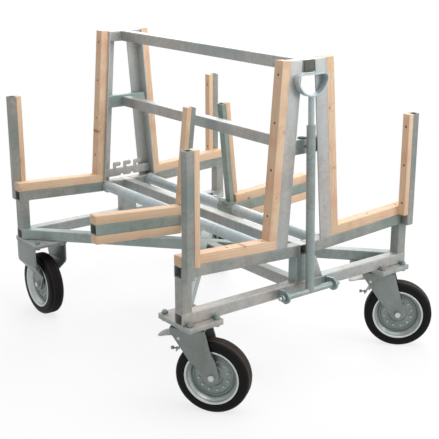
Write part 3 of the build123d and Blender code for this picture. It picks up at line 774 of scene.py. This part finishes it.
def copied(obj: Piece, name: str, place: Matrix | None = None) -> Piece:
    """Copy an object with its own mesh.

    Args:
        obj: what to copy.
        name: name of the copy.
        place: where the copy goes, or None to leave it where it is.

    Returns:
        The copy.
    """
    other = obj.copy()
    other.data = obj.data.copy()
    other.name = other.data.name = name
    bpy.context.collection.objects.link(other)
    if place is not None:
        settle(other, place)
    return other


def joined(objects: Sequence[Piece], name: str) -> Piece:
    """Join objects into one.

    Args:
        objects: the objects.
        name: name of the result.

    Returns:
        The joined object.
    """
    pick(objects[0])
    for other in objects[1:]:
        other.select_set(True)
    bpy.ops.object.join()
    objects[0].name = objects[0].data.name = name
    return objects[0]


def rounded(corners: Sequence[Corner]) -> Profile:
    """Round the corners of an open outline with arcs.

    Args:
        corners: radius from the axle, offset along it and rounding of each corner, in millimetres.

    Returns:
        The points of the outline, in metres.
    """
    points: Profile = []
    for index, (radius, offset, rounding) in enumerate(corners):
        here = Vector((radius, offset))
        if rounding == 0:
            points.append(tuple(here * MM))
            continue
        back = (Vector(corners[index - 1][:2]) - here).normalized()
        on = (Vector(corners[index + 1][:2]) - here).normalized()
        half = back.angle(on) / 2
        centre = here + (back + on).normalized() * rounding / math.sin(half)
        first = here + back * rounding / math.tan(half) - centre
        sweep = first.angle_signed(here + on * rounding / math.tan(half) - centre)
        for step in range(ARC_STEPS + 1):
            arm = Matrix.Rotation(-sweep * step / ARC_STEPS, 2) @ first
            points.append(tuple((centre + arm) * MM))
    return points


@functools.cache
def material_of(finish: Finish) -> Material:
    """The material of a finish, made once."""
    return finish.material()


def dress(obj: Piece, finish: Finish) -> None:
    """Give an object one finish all over."""
    obj.data.materials.clear()
    obj.data.materials.append(material_of(finish))


def hand_over(obj: Piece, body: str, slot: Slot, *nodes: str) -> None:
    """Set a finished piece on its body.

    Args:
        obj: the piece.
        body: body it rides on.
        slot: the record's material slot; not used.
        nodes: nodes that it stands for.
    """
    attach(obj, body)
    if nodes:
        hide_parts(*nodes)
    LOG.info("piece %s on %s", obj.name, body)


def soft_edged(node: str, width: float, finish: Finish, slot: Slot) -> None:
    """Stand a copy with rounded edges in for a node.

    Args:
        node: the node.
        width: width of the rounding.
        finish: its finish.
        slot: the record's material slot.
    """
    source = frame["nodes"][node]
    obj = copied(source, f"{node}_finished")
    obj.parent = None
    for key in list(obj.keys()):
        del obj[key]
    with editing(obj):
        bpy.ops.mesh.customdata_custom_splitnormals_clear()
        bpy.ops.mesh.remove_doubles(threshold=MERGE_GAP)
        bpy.ops.mesh.dissolve_limited(angle_limit=FLAT_ANGLE)
    soften(obj, width)
    dress(obj, finish)
    hand_over(obj, body_of(source)[0], slot, node)


class Coating:
    """Finishes that several sub-assemblies share."""

    GALVANISED = ZincFinish(
        "galvanised_steel", (0.32, 0.32, 0.305), (0.51, 0.505, 0.485), (0.34, 0.40, 0.39)
    )
    # a darker copy of the galvanised steel: painted shade for the posts, arms and stakes
    POST = ZincFinish(
        "galvanised_post_shaded", (0.225, 0.235, 0.215), (0.38, 0.38, 0.355), (0.185, 0.25, 0.225)
    )
    LEG = ZincFinish(
        "galvanised_leg", (0.38, 0.38, 0.365), (0.56, 0.55, 0.53), (0.43, 0.47, 0.46)
    )
    DECK = ZincFinish(
        "galvanised_round", (0.44, 0.50, 0.52), (0.65, 0.70, 0.72), (0.44, 0.55, 0.57),
        roughness=0.42,
    )
    COOL = ZincFinish(
        "galvanised_cool", (0.24, 0.29, 0.28), (0.39, 0.435, 0.42), (0.24, 0.34, 0.32),
        roughness=0.32, metallic=0.35,
    )
    SUPPORT = ZincFinish(
        "galvanised_support", (0.24, 0.29, 0.26), (0.38, 0.425, 0.39), (0.24, 0.345, 0.31)
    )
    FORK = ZincFinish(
        "fork_zinc", (0.18, 0.205, 0.19), (0.29, 0.315, 0.30), (0.20, 0.24, 0.22),
        roughness=0.30, metallic=0.45, tint_share=0.6, crystal_share=0.08,
    )
    BRIGHT = ZincFinish(
        "bright_zinc", (0.48, 0.51, 0.50), (0.72, 0.75, 0.73), (0.48, 0.58, 0.57),
        roughness=0.18, metallic=0.6, tint_share=0.5, crystal_share=0.05,
    )
    DARK_NUT = ZincFinish(
        "dark_zinc", (0.19, 0.255, 0.25), (0.36, 0.44, 0.43), (0.20, 0.31, 0.31),
        roughness=0.24, metallic=0.45, tint_share=0.5, crystal_share=0.05,
    )
    SCREW = ZincFinish(
        "aged_screw", (0.09, 0.075, 0.06), (0.20, 0.175, 0.15), (0.16, 0.12, 0.09),
        roughness=0.38, metallic=0.4, tint_share=0.5, crystal_share=0.05,
    )
    BLACK = DullFinish("black_plug", (0.012, 0.012, 0.013), (0.05, 0.05, 0.05), 0.6)
    PLASTIC = DullFinish("cap_plastic", (0.125, 0.118, 0.10), (0.19, 0.18, 0.155), 0.55)


@dataclass
class SteelFrame:
    """Welded frame of square and round tube, with its plates and fasteners."""

    plain: tuple[tuple[Finish, Names], ...] = (
        (Coating.GALVANISED, (
            "near_lower_beam", "far_lower_beam", "deck_spine", "base_spine", "far_column",
            "top_rail", "mid_rail", "top_cross_pieces", "tube_collars",
        )),
        # posts, arms and stakes take the darker copy with painted shade
        (Coating.POST, ("corner_posts", "near_arms", "far_arms", "stakes")),
        (Coating.COOL, ("diagonal_brace", "cross_brace", "near_column", "mid_cross_pieces")),
        (Coating.DECK, ("deck_tubes",)),
        (Coating.BRIGHT, ("pivot_rod", "far_axles")),
        (Coating.BLACK, ("cross_plug",)),
    )
    softened: tuple[tuple[float, Finish, Slot, Names], ...] = (
        (0.5 * MM, Coating.DARK_NUT, Slot.ZINC, ("caster_bolts", "pivot_nuts")),
        (1.0 * MM, Coating.GALVANISED, Slot.GALVANISED,
         ("column_gusset", "hook_rack", "mount_plates")),
        (1.0 * MM, Coating.COOL, Slot.GALVANISED, ("drawbar_lugs",)),
        (1.0 * MM, Coating.LEG, Slot.GALVANISED, ("near_legs", "far_legs")),
        (0.5 * MM, Coating.SCREW, Slot.ZINC, ("timber_screws",)),
        (1.2 * MM, Coating.PLASTIC, Slot.PLASTIC, ("rail_caps",)),
    )

    def build(self) -> None:
        """Dress the plain nodes and round the edges of the others."""
        for finish, nodes in self.plain:
            for node in nodes:
                dress(frame["nodes"][node], finish)
        for edge, finish, slot, nodes in self.softened:
            for node in nodes:
                soft_edged(node, edge, finish, slot)


@dataclass
class WeldBeads:
    """Rippled beads where the frame's tubes meet."""

    bead: float = 2.4 * MM
    flush_bead: float = 1.3 * MM
    waist: float = 0.78
    ripples: int = 9
    pitch: float = 4.5 * MM
    sides: int = 8
    cross_slant: float = 4.0 * MM
    rail_inset: float = 5.0 * MM
    smooth_angle: float = math.radians(60)

    def rope(self) -> Piece:
        """Model one bead along X, from the origin.

        Returns:
            The bead, with a radius of 1.
        """
        lay_down()
        bpy.ops.mesh.primitive_circle_add(
            vertices=self.sides, radius=1.0, fill_type="NGON", rotation=(0, QUARTER_TURN, 0)
        )
        obj = bpy.context.object
        settle(obj)
        step = {"value": (self.pitch / 2, 0, 0)}
        with editing(obj):
            for _ in range(self.ripples):
                for ratio in (self.waist, 1 / self.waist):
                    bpy.ops.mesh.extrude_region_move(TRANSFORM_OT_translate=step)
                    bpy.ops.transform.resize(value=(1, ratio, ratio), center_override=(0, 0, 0))
        seal(obj)
        return obj

    def seams(self) -> list[tuple[Point, Point, float]]:
        """Work out where the beads of one corner run, from the nodes.

        Returns:
            Start, end and radius of each bead.
        """
        post, arm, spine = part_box("corner_posts"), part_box("near_arms"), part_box("deck_spine")
        column, cross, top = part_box("near_column"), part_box("mid_cross_pieces"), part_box("top_rail")
        tube = spine[1].z - spine[0].z
        out_x, out_y = post[1].x, post[1].y
        in_x, in_y = out_x - tube, out_y - tube
        foot, deck = post[0].z, spine[0].z
        face, side = top[1].x - self.rail_inset, tube / 2
        slope = (arm[1].z - spine[1].z) / (arm[1].y - spine[1].y)
        under = deck + slope * (in_y - tube / 2)
        end = under + slope * tube
        thin, thick = self.flush_bead, self.bead
        lines = []
        for x in (out_x, in_x):
            lines += [
                ((x, in_y, foot), (x, out_y, foot), thin),
                ((x, in_y, under), (x, out_y, end), thin),
                ((x, side, deck), (x, side, deck + tube), thin),
                ((x, 0, column[0].z), (x, column[1].y, column[0].z), thin),
                ((x, 0, column[1].z), (x, column[1].y, column[1].z), thin),
            ]
        lines += [
            ((in_x, in_y, foot), (out_x, in_y, foot), thick),
            ((in_x, out_y, foot), (out_x, out_y, foot), thin),
            ((in_x, in_y, under), (out_x, in_y, under), thick),
            ((in_x, side, deck + tube), (out_x, side, deck + tube), thin),
            ((in_x, column[1].y, column[0].z), (out_x, column[1].y, column[0].z), thick),
            (
                (cross[1].x, cross[1].y, cross[0].z),
                (cross[1].x, cross[1].y - self.cross_slant, cross[1].z), thick,
            ),
            ((face, side, top[0].z), (face, side, top[1].z), thick),
        ]
        return lines

    def build(self) -> None:
        """Lay the beads at all four corners."""
        rope = self.rope()
        length = self.ripples * self.pitch
        beads = []
        for start, stop, radius in self.seams():
            for side in (1, -1):
                for end in (1, -1):
                    flip = Vector((end, side, 1))
                    first, last = Vector(start) * flip, Vector(stop) * flip
                    along = last - first
                    turn = Vector((1, 0, 0)).rotation_difference(along).to_matrix().to_4x4()
                    size = Matrix.Diagonal((along.length / length, radius, radius, 1.0))
                    place = Matrix.Translation(first) @ turn @ size
                    beads.append(copied(rope, "bead", place))
        bpy.data.objects.remove(rope)
        obj = joined(beads, "weld_beads")
        smooth(obj, self.smooth_angle)
        dress(obj, Coating.GALVANISED)
        hand_over(obj, "frame", Slot.GALVANISED)


@dataclass
class Timbering:
    """Softwood facings where slabs stand and lean."""

    edge: float = 1.6 * MM
    arm_turn: Point = (0.0, 0.0, QUARTER_TURN)
    leg_turn: Point = (0.0, QUARTER_TURN, 0.0)

    def build(self) -> None:
        """Make each timber with rounded edges and grain along its length."""
        along_arm = TimberFinish("timber_along_arm", self.arm_turn)
        along_leg = TimberFinish("timber_along_leg", self.leg_turn)
        for node in ("arm_timbers", "left_support_timbers", "right_support_timbers"):
            soft_edged(node, self.edge, along_arm, Slot.TIMBER)
        for node in ("leg_timbers", "stake_timbers"):
            soft_edged(node, self.edge, along_leg, Slot.TIMBER)


@dataclass
class Wheel:
    """Tyre and pressed rim of one caster."""

    name: str
    turn: float
    steps: int = 96
    bolt_count: int = 12
    bolt_sides: int = 6
    bolt_facets: int = 2
    bolt_circle: float = 51.0 * MM
    bolt_flats: float = 8.0 * MM
    bolt_height: float = 4.0 * MM
    bolt_edge: float = 0.9 * MM
    bolt_sink: float = 0.2 * MM
    bolt_angle: float = math.radians(30)
    web_face: float = 5.5 * MM
    smooth_angle: float = math.radians(40)
    dust: Colour = (0.085, 0.068, 0.058)
    tyre_corners: tuple[Corner, ...] = (
        (70.2, 0.4, 0.0), (88.4, 27.3, 2.0), (94.0, 27.7, 0.8), (96.5, 30.0, 2.0),
        (125.0, 30.0, 15.0), (125.0, 12.0, 0.8), (122.0, 11.2, 0.5), (122.0, 9.4, 0.5),
        (125.0, 8.6, 0.8), (125.0, 5.0, 0.8), (122.0, 4.2, 0.5), (122.0, 2.4, 0.5),
        (125.0, 1.6, 0.8), (125.0, 0.2, 0.0),
    )
    rim_corners: tuple[Corner, ...] = (
        (6.3, 17.0, 0.0), (11.0, 17.0, 0.9), (11.6, 15.0, 0.9), (18.5, 15.0, 0.9),
        (19.2, 16.6, 0.7), (23.0, 16.6, 1.2), (24.0, 11.0, 2.5), (31.0, 10.0, 3.0),
        (36.0, 5.5, 3.5), (64.5, 5.5, 1.5), (66.0, 8.4, 1.2), (68.6, 8.4, 1.2),
        (70.4, 6.2, 1.2), (72.2, 6.6, 1.2), (77.0, 14.0, 3.0), (83.0, 22.0, 4.0),
        (86.8, 30.0, 3.6), (92.9, 30.5, 1.2), (92.9, 27.4, 0.6), (88.2, 26.9, 1.8),
        (69.4, 0.3, 0.0),
    )

    def place(self) -> Matrix:
        """Where the wheel stands, with its axle along local Y."""
        low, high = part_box(f"{self.name}_tyre")
        return Matrix.Translation((low + high) / 2) @ Matrix.Rotation(self.turn, 4, "Z")

    @staticmethod
    def both_sides(half: Profile) -> Profile:
        """An outline on the +Y side and its mirror image as one closed loop."""
        return half + [(radius, -offset) for radius, offset in reversed(half)]

    def spin(self, node: str, made: str, corners: Sequence[Corner], finish: Finish,
             slot: Slot) -> None:
        """Spin an outline about the axle to stand in for a node.

        Args:
            node: the node.
            made: what is added to its name.
            corners: the outline on one side of the wheel.
            finish: the piece's finish.
            slot: the record's material slot.
        """
        obj = revolve(f"{node}_{made}", self.both_sides(rounded(corners)), self.steps)
        settle(obj, self.place())
        smooth(obj, self.smooth_angle)
        dress(obj, finish)
        hand_over(obj, f"{self.name}_wheel", slot, node)

    def bolts(self) -> None:
        """Set a ring of small bolts in each face of the rim."""
        lay_down()
        bpy.ops.mesh.primitive_cylinder_add(
            vertices=self.bolt_sides, radius=self.bolt_flats / math.sqrt(3), depth=self.bolt_height
        )
        bolt = bpy.context.object
        with editing(bolt):
            bpy.ops.mesh.bevel(offset=self.bolt_edge, segments=self.bolt_facets, affect="EDGES")
        copies = []
        out = self.web_face + self.bolt_height / 2 - self.bolt_sink
        tip = Matrix.Rotation(QUARTER_TURN, 4, "X")
        for side in (1, -1):
            for index in range(self.bolt_count):
                spin = Matrix.Rotation(2 * math.pi * (index + 0.5) / self.bolt_count, 4, "Y")
                spot = Matrix.Translation((self.bolt_circle, side * out, 0))
                copies.append(copied(bolt, "bolt", self.place() @ spin @ spot @ tip))
        bpy.data.objects.remove(bolt)
        obj = joined(copies, f"{self.name}_rim_bolts")
        smooth(obj, self.bolt_angle)
        dress(obj, Coating.DECK)
        hand_over(obj, f"{self.name}_wheel", Slot.ZINC)

    def build(self) -> None:
        """Make the tyre with its grooved tread, the pressed rim and its bolts."""
        name, middle = self.name, tuple(self.place().translation)
        rubber = RubberFinish(f"{name}_rubber", middle, self.turn, self.dust)
        zinc = RimFinish(f"{name}_rim_zinc", middle, self.turn)
        self.spin(f"{name}_tyre", "moulded", self.tyre_corners, rubber, Slot.TYRE)
        self.spin(f"{name}_rim", "pressed", self.rim_corners, zinc, Slot.ZINC)
        self.bolts()


@dataclass
class BrakePedal:
    """Pressed pedal with its hub, shoe arm and adjusting screw, drawn about its pin."""

    name: str
    turn: float
    reach: float = 84.0 * MM
    width: float = 58.0 * MM
    sheet: float = 3.0 * MM
    rise: float = 4.5 * MM
    tip_corner: float = 24.0 * MM
    tip_facets: int = 6
    stations: int = 8
    droop: float = math.radians(24)
    sheet_edge: float = 0.8 * MM
    hub_corners: tuple[Corner, ...] = ((5.4, 34.8, 0.0), (8.9, 34.8, 1.0), (8.9, 0.0, 0.0))
    hub_steps: int = 32
    shoe_size: Point = (9.0 * MM, 40.0 * MM, 42.0 * MM)
    shoe_back: float = 1.5 * MM
    shoe_edge: float = 3.0 * MM
    shoe_facets: int = 3
    tongue_size: Point = (4.0 * MM, 22.0 * MM, 34.0 * MM)
    tongue_middle: Point = (-12.0 * MM, 0.0, -47.0 * MM)
    tongue_lean: float = math.radians(30)
    tongue_edge: float = 1.0 * MM
    screw_drop: float = 54.0 * MM
    screw_corners: tuple[Corner, ...] = (
        (0.1, 40.0, 0.0), (6.0, 40.0, 1.6), (6.0, 31.0, 1.2), (3.0, 31.0, 0.4), (3.0, 23.0, 0.2),
        (5.6, 23.0, 0.8), (5.6, 18.5, 0.8), (3.0, 18.5, 0.2), (3.0, 11.0, 0.6), (0.1, 11.0, 0.0),
    )
    screw_steps: int = 20

    def paddle(self) -> Piece:
        """Cut a plate with a rounded tip and bend it down along its length.

        Returns:
            The paddle.
        """
        obj = block((self.reach, self.width, self.sheet), (-self.reach / 2, 0, self.rise))
        lines = [-self.reach * step / self.stations for step in range(1, self.stations)]
        with editing(obj):
            choose(obj, lambda place: place.x < self.sheet - self.reach)
            bpy.ops.mesh.select_mode(type="EDGE")
            mesh = bmesh.from_edit_mesh(obj.data)
            for edge in mesh.edges:
                ends = [point.co for point in edge.verts]
                level = abs(ends[0].z - ends[1].z) < self.sheet / 2
                edge.select = edge.select and not level
            bmesh.update_edit_mesh(obj.data)
            bpy.ops.mesh.bevel(offset=self.tip_corner, segments=self.tip_facets, affect="EDGES")
            for line in lines:
                bpy.ops.mesh.select_all(action="SELECT")
                bpy.ops.mesh.bisect(plane_co=(line, 0, 0), plane_no=(1, 0, 0))
            mesh = bmesh.from_edit_mesh(obj.data)
            turn = Matrix.Rotation(-self.droop / self.stations, 4, "Y")
            for line in reversed(lines):
                hinge = Matrix.Translation((line, 0, self.rise))
                beyond = [point for point in mesh.verts if point.co.x < line - MERGE_GAP]
                bmesh.ops.transform(mesh, matrix=hinge @ turn @ hinge.inverted(), verts=beyond)
            bmesh.update_edit_mesh(obj.data)
        soften(obj, self.sheet_edge)
        return obj

    def shoe(self) -> Piece:
        """Model the arm that reaches down to the tread.

        Returns:
            The shoe.
        """
        middle = -self.shoe_size[2] / 2
        obj = block(self.shoe_size, (-self.shoe_back, 0, middle))
        with editing(obj):
            choose(obj, lambda place: place.z < middle)
            bpy.ops.transform.translate(value=(-self.shoe_back, 0, 0))
        soften(obj, self.shoe_edge, self.shoe_facets)
        return obj

    def tongue(self) -> Piece:
        """Model the bent tongue below the shoe that holds the adjusting screw.

        Returns:
            The tongue.
        """
        obj = block(self.tongue_size, self.tongue_middle, self.tongue_lean)
        soften(obj, self.tongue_edge)
        return obj

    def screw(self) -> Piece:
        """Spin the adjusting screw and lay it along X.

        Returns:
            The screw.
        """
        outline = rounded(self.screw_corners)
        obj = revolve(f"{self.name}_brake_screw", outline, self.screw_steps)
        drop = Matrix.Translation((0, 0, -self.screw_drop))
        settle(obj, drop @ Matrix.Rotation(QUARTER_TURN, 4, "Z"))
        return obj

    def build(self) -> None:
        """Join the pressed pieces on the pedal's body."""
        joint = next(j for j in frame["joints"] if j["name"] == f"{self.name}_brake_press")
        place = Matrix.Translation(Vector(joint["pos_m"])) @ Matrix.Rotation(self.turn, 4, "Z")
        outline = Wheel.both_sides(rounded(self.hub_corners)[:-1])
        hub = revolve("hub", outline, self.hub_steps)
        sheets = [self.paddle(), self.shoe(), self.tongue(), hub]
        pressed = joined(sheets, f"{self.name}_brake_pedal_pressed")
        screw = self.screw()
        for obj, finish in ((pressed, Coating.LEG), (screw, Coating.DARK_NUT)):
            settle(obj, place)
            smooth(obj, SHARP_ANGLE)
            dress(obj, finish)
        hand_over(pressed, f"{self.name}_brake", Slot.ZINC, f"{self.name}_brake_pedal")
        hand_over(screw, f"{self.name}_brake", Slot.ZINC)


@dataclass
class Caster:
    """One caster with its fork, fasteners and, at the near end, its brake."""

    name: str
    turn: float
    swivels: bool
    clean_tread: Colour = (0.030, 0.025, 0.026)
    fork_edge: float = 2.2 * MM
    plate_edge: float = 1.2 * MM

    def build(self) -> None:
        """Make the wheel and dress the steel round it."""
        wheel = Wheel(self.name, self.turn)
        if not self.swivels:
            wheel.dust = self.clean_tread
        wheel.build()
        soft_edged(f"{self.name}_fork", self.fork_edge, Coating.FORK, Slot.ZINC)
        if self.swivels:
            dress(frame["nodes"][f"{self.name}_axle"], Coating.BRIGHT)
            soft_edged(f"{self.name}_swivel_plate", self.plate_edge, Coating.COOL, Slot.ZINC)
            BrakePedal(self.name, self.turn).build()


@dataclass
class Drawbar:
    """Hinged drawbar with its D-handle."""

    strap_edge: float = 1.0 * MM

    def build(self) -> None:
        """Dress the tube and the handle."""
        dress(frame["nodes"]["drawbar_tube"], Coating.COOL)
        soft_edged("drawbar_handle", self.strap_edge, Coating.DECK, Slot.GALVANISED)


@dataclass
class SlidingSupport:
    """Middle support that slides on a deck tube."""

    side: Side

    def build(self) -> None:
        """Dress the welded steel and the clamp screw."""
        dress(frame["nodes"][f"{self.side.value}_support_frame"], Coating.SUPPORT)
        dress(frame["nodes"][f"{self.side.value}_clamp_screw"], Coating.BRIGHT)


@dataclass
class Studio:
    """Camera, light and floor."""

    eye: Point = (2.891, -2.116, 1.530)
    azimuth: float = 52.82
    look_down: float = 16.92
    lens: float = 80.04
    sensor: float = 36.0
    sight: float = 200.0
    aim: Point = (0.0, 0.0, 0.55)
    floor_size: float = 60.0
    floor_colour: Colour = (0.66, 0.66, 0.66)
    floor_roughness: float = 0.9
    white: tuple[float, ...] = (1.0, 1.0, 1.0, 1.0)
    shadow_share: float = 0.22
    shadow_band: Band = (0.9, 2.2)
    sky: Colour = (0.95, 0.97, 1.0)
    sky_strength: float = 0.40
    lamps: tuple[tuple[str, Point, float, float], ...] = (
        ("right", (3.4, 2.2, 2.0), 2.0, 42.0),
        ("top", (0.8, 0.5, 3.7), 3.6, 89.0),
        ("back", (-3.2, 2.4, 3.2), 3.0, 110.0),
    )

    def camera(self) -> None:
        """Set the camera at the photograph's place."""
        az, el = math.radians(self.azimuth), math.radians(self.look_down)
        back = Vector((math.sin(az) * math.cos(el), -math.cos(az) * math.cos(el), math.sin(el)))
        data = bpy.data.cameras.new("camera")
        data.lens = self.lens
        data.sensor_width = self.sensor
        data.clip_end = self.sight
        camera = bpy.data.objects.new("camera", data)
        camera.location = self.eye
        camera.rotation_euler = (-back).to_track_quat("-Z", "Y").to_euler()
        bpy.context.collection.objects.link(camera)
        bpy.context.scene.camera = camera

    def lights(self) -> None:
        """Hang soft area lamps aimed at the middle of the trolley."""
        for name, spot, size, power in self.lamps:
            data = bpy.data.lights.new(name, "AREA")
            data.size = size
            data.energy = power
            lamp = bpy.data.objects.new(name, data)
            lamp.location = spot
            lamp.visible_camera = False
            ray = Vector(self.aim) - Vector(spot)
            lamp.rotation_euler = ray.to_track_quat("-Z", "Y").to_euler()
            bpy.context.collection.objects.link(lamp)

    def world(self) -> None:
        """White to the camera and in reflections, a soft sky as light."""
        world = bpy.data.worlds.new("studio")
        bpy.context.scene.world = world
        graph = Graph(world)
        sky = graph.add("ShaderNodeBackground", None, {0: (*self.sky, 1.0), 1: self.sky_strength})
        white = graph.add("ShaderNodeBackground", None, {0: self.white, 1: 1.0})
        seen = graph.shows_background()
        mixed = graph.add("ShaderNodeMixShader", None, {0: seen, 1: sky, 2: white})
        graph.make("ShaderNodeOutputWorld", None, {0: mixed})

    def floor(self) -> None:
        """Lay a pale floor that keeps the shadow and turns white away from the trolley."""
        lay_down()
        bpy.ops.mesh.primitive_plane_add(size=self.floor_size)
        floor = bpy.context.object
        floor.name = "floor"
        graph = Coat("pale_floor")
        background = graph.shows_background()
        colour = graph.mix(background, self.floor_colour, self.white[:3])
        graph.finish(Base_Color=colour, Roughness=self.floor_roughness, Specular_IOR_Level=0.0)
        across, along, _ = graph.parts(graph.place)
        radius = across.hypotenuse(along)
        keep = self.shadow_share * (1 - radius.band(*self.shadow_band))
        white = graph.add("ShaderNodeEmission", None, {"Color": self.white, "Strength": 1.0})
        share = background * (1 - keep)
        mixed = graph.add("ShaderNodeMixShader", None, {0: share, 1: graph.surface, 2: white})
        graph.feed(graph.output, "Surface", mixed)
        floor.data.materials.append(graph.material)

    def build(self) -> None:
        """Set up everything that isn't part of the trolley."""
        bpy.context.scene.view_settings.view_transform = "Standard"
        self.camera()
        self.lights()
        self.world()
        self.floor()


def main() -> None:
    """Build the trolley's looks in order."""
    logging.basicConfig(level=logging.INFO, format="%(name)s: %(message)s")
    SteelFrame().build()
    WeldBeads().build()
    Timbering().build()
    for joint in frame["joints"]:
        if not joint["name"].endswith("wheel_spin"):
            continue
        name = joint["child"].removesuffix("_wheel")
        axle = Vector(joint["axis"])
        turn = math.atan2(-axle.x, axle.y)
        Caster(name, turn, name.startswith("near")).build()
    Drawbar().build()
    for side in Side:
        SlidingSupport(side).build()
    Studio().build()


if __name__ == "__main__":
    main()
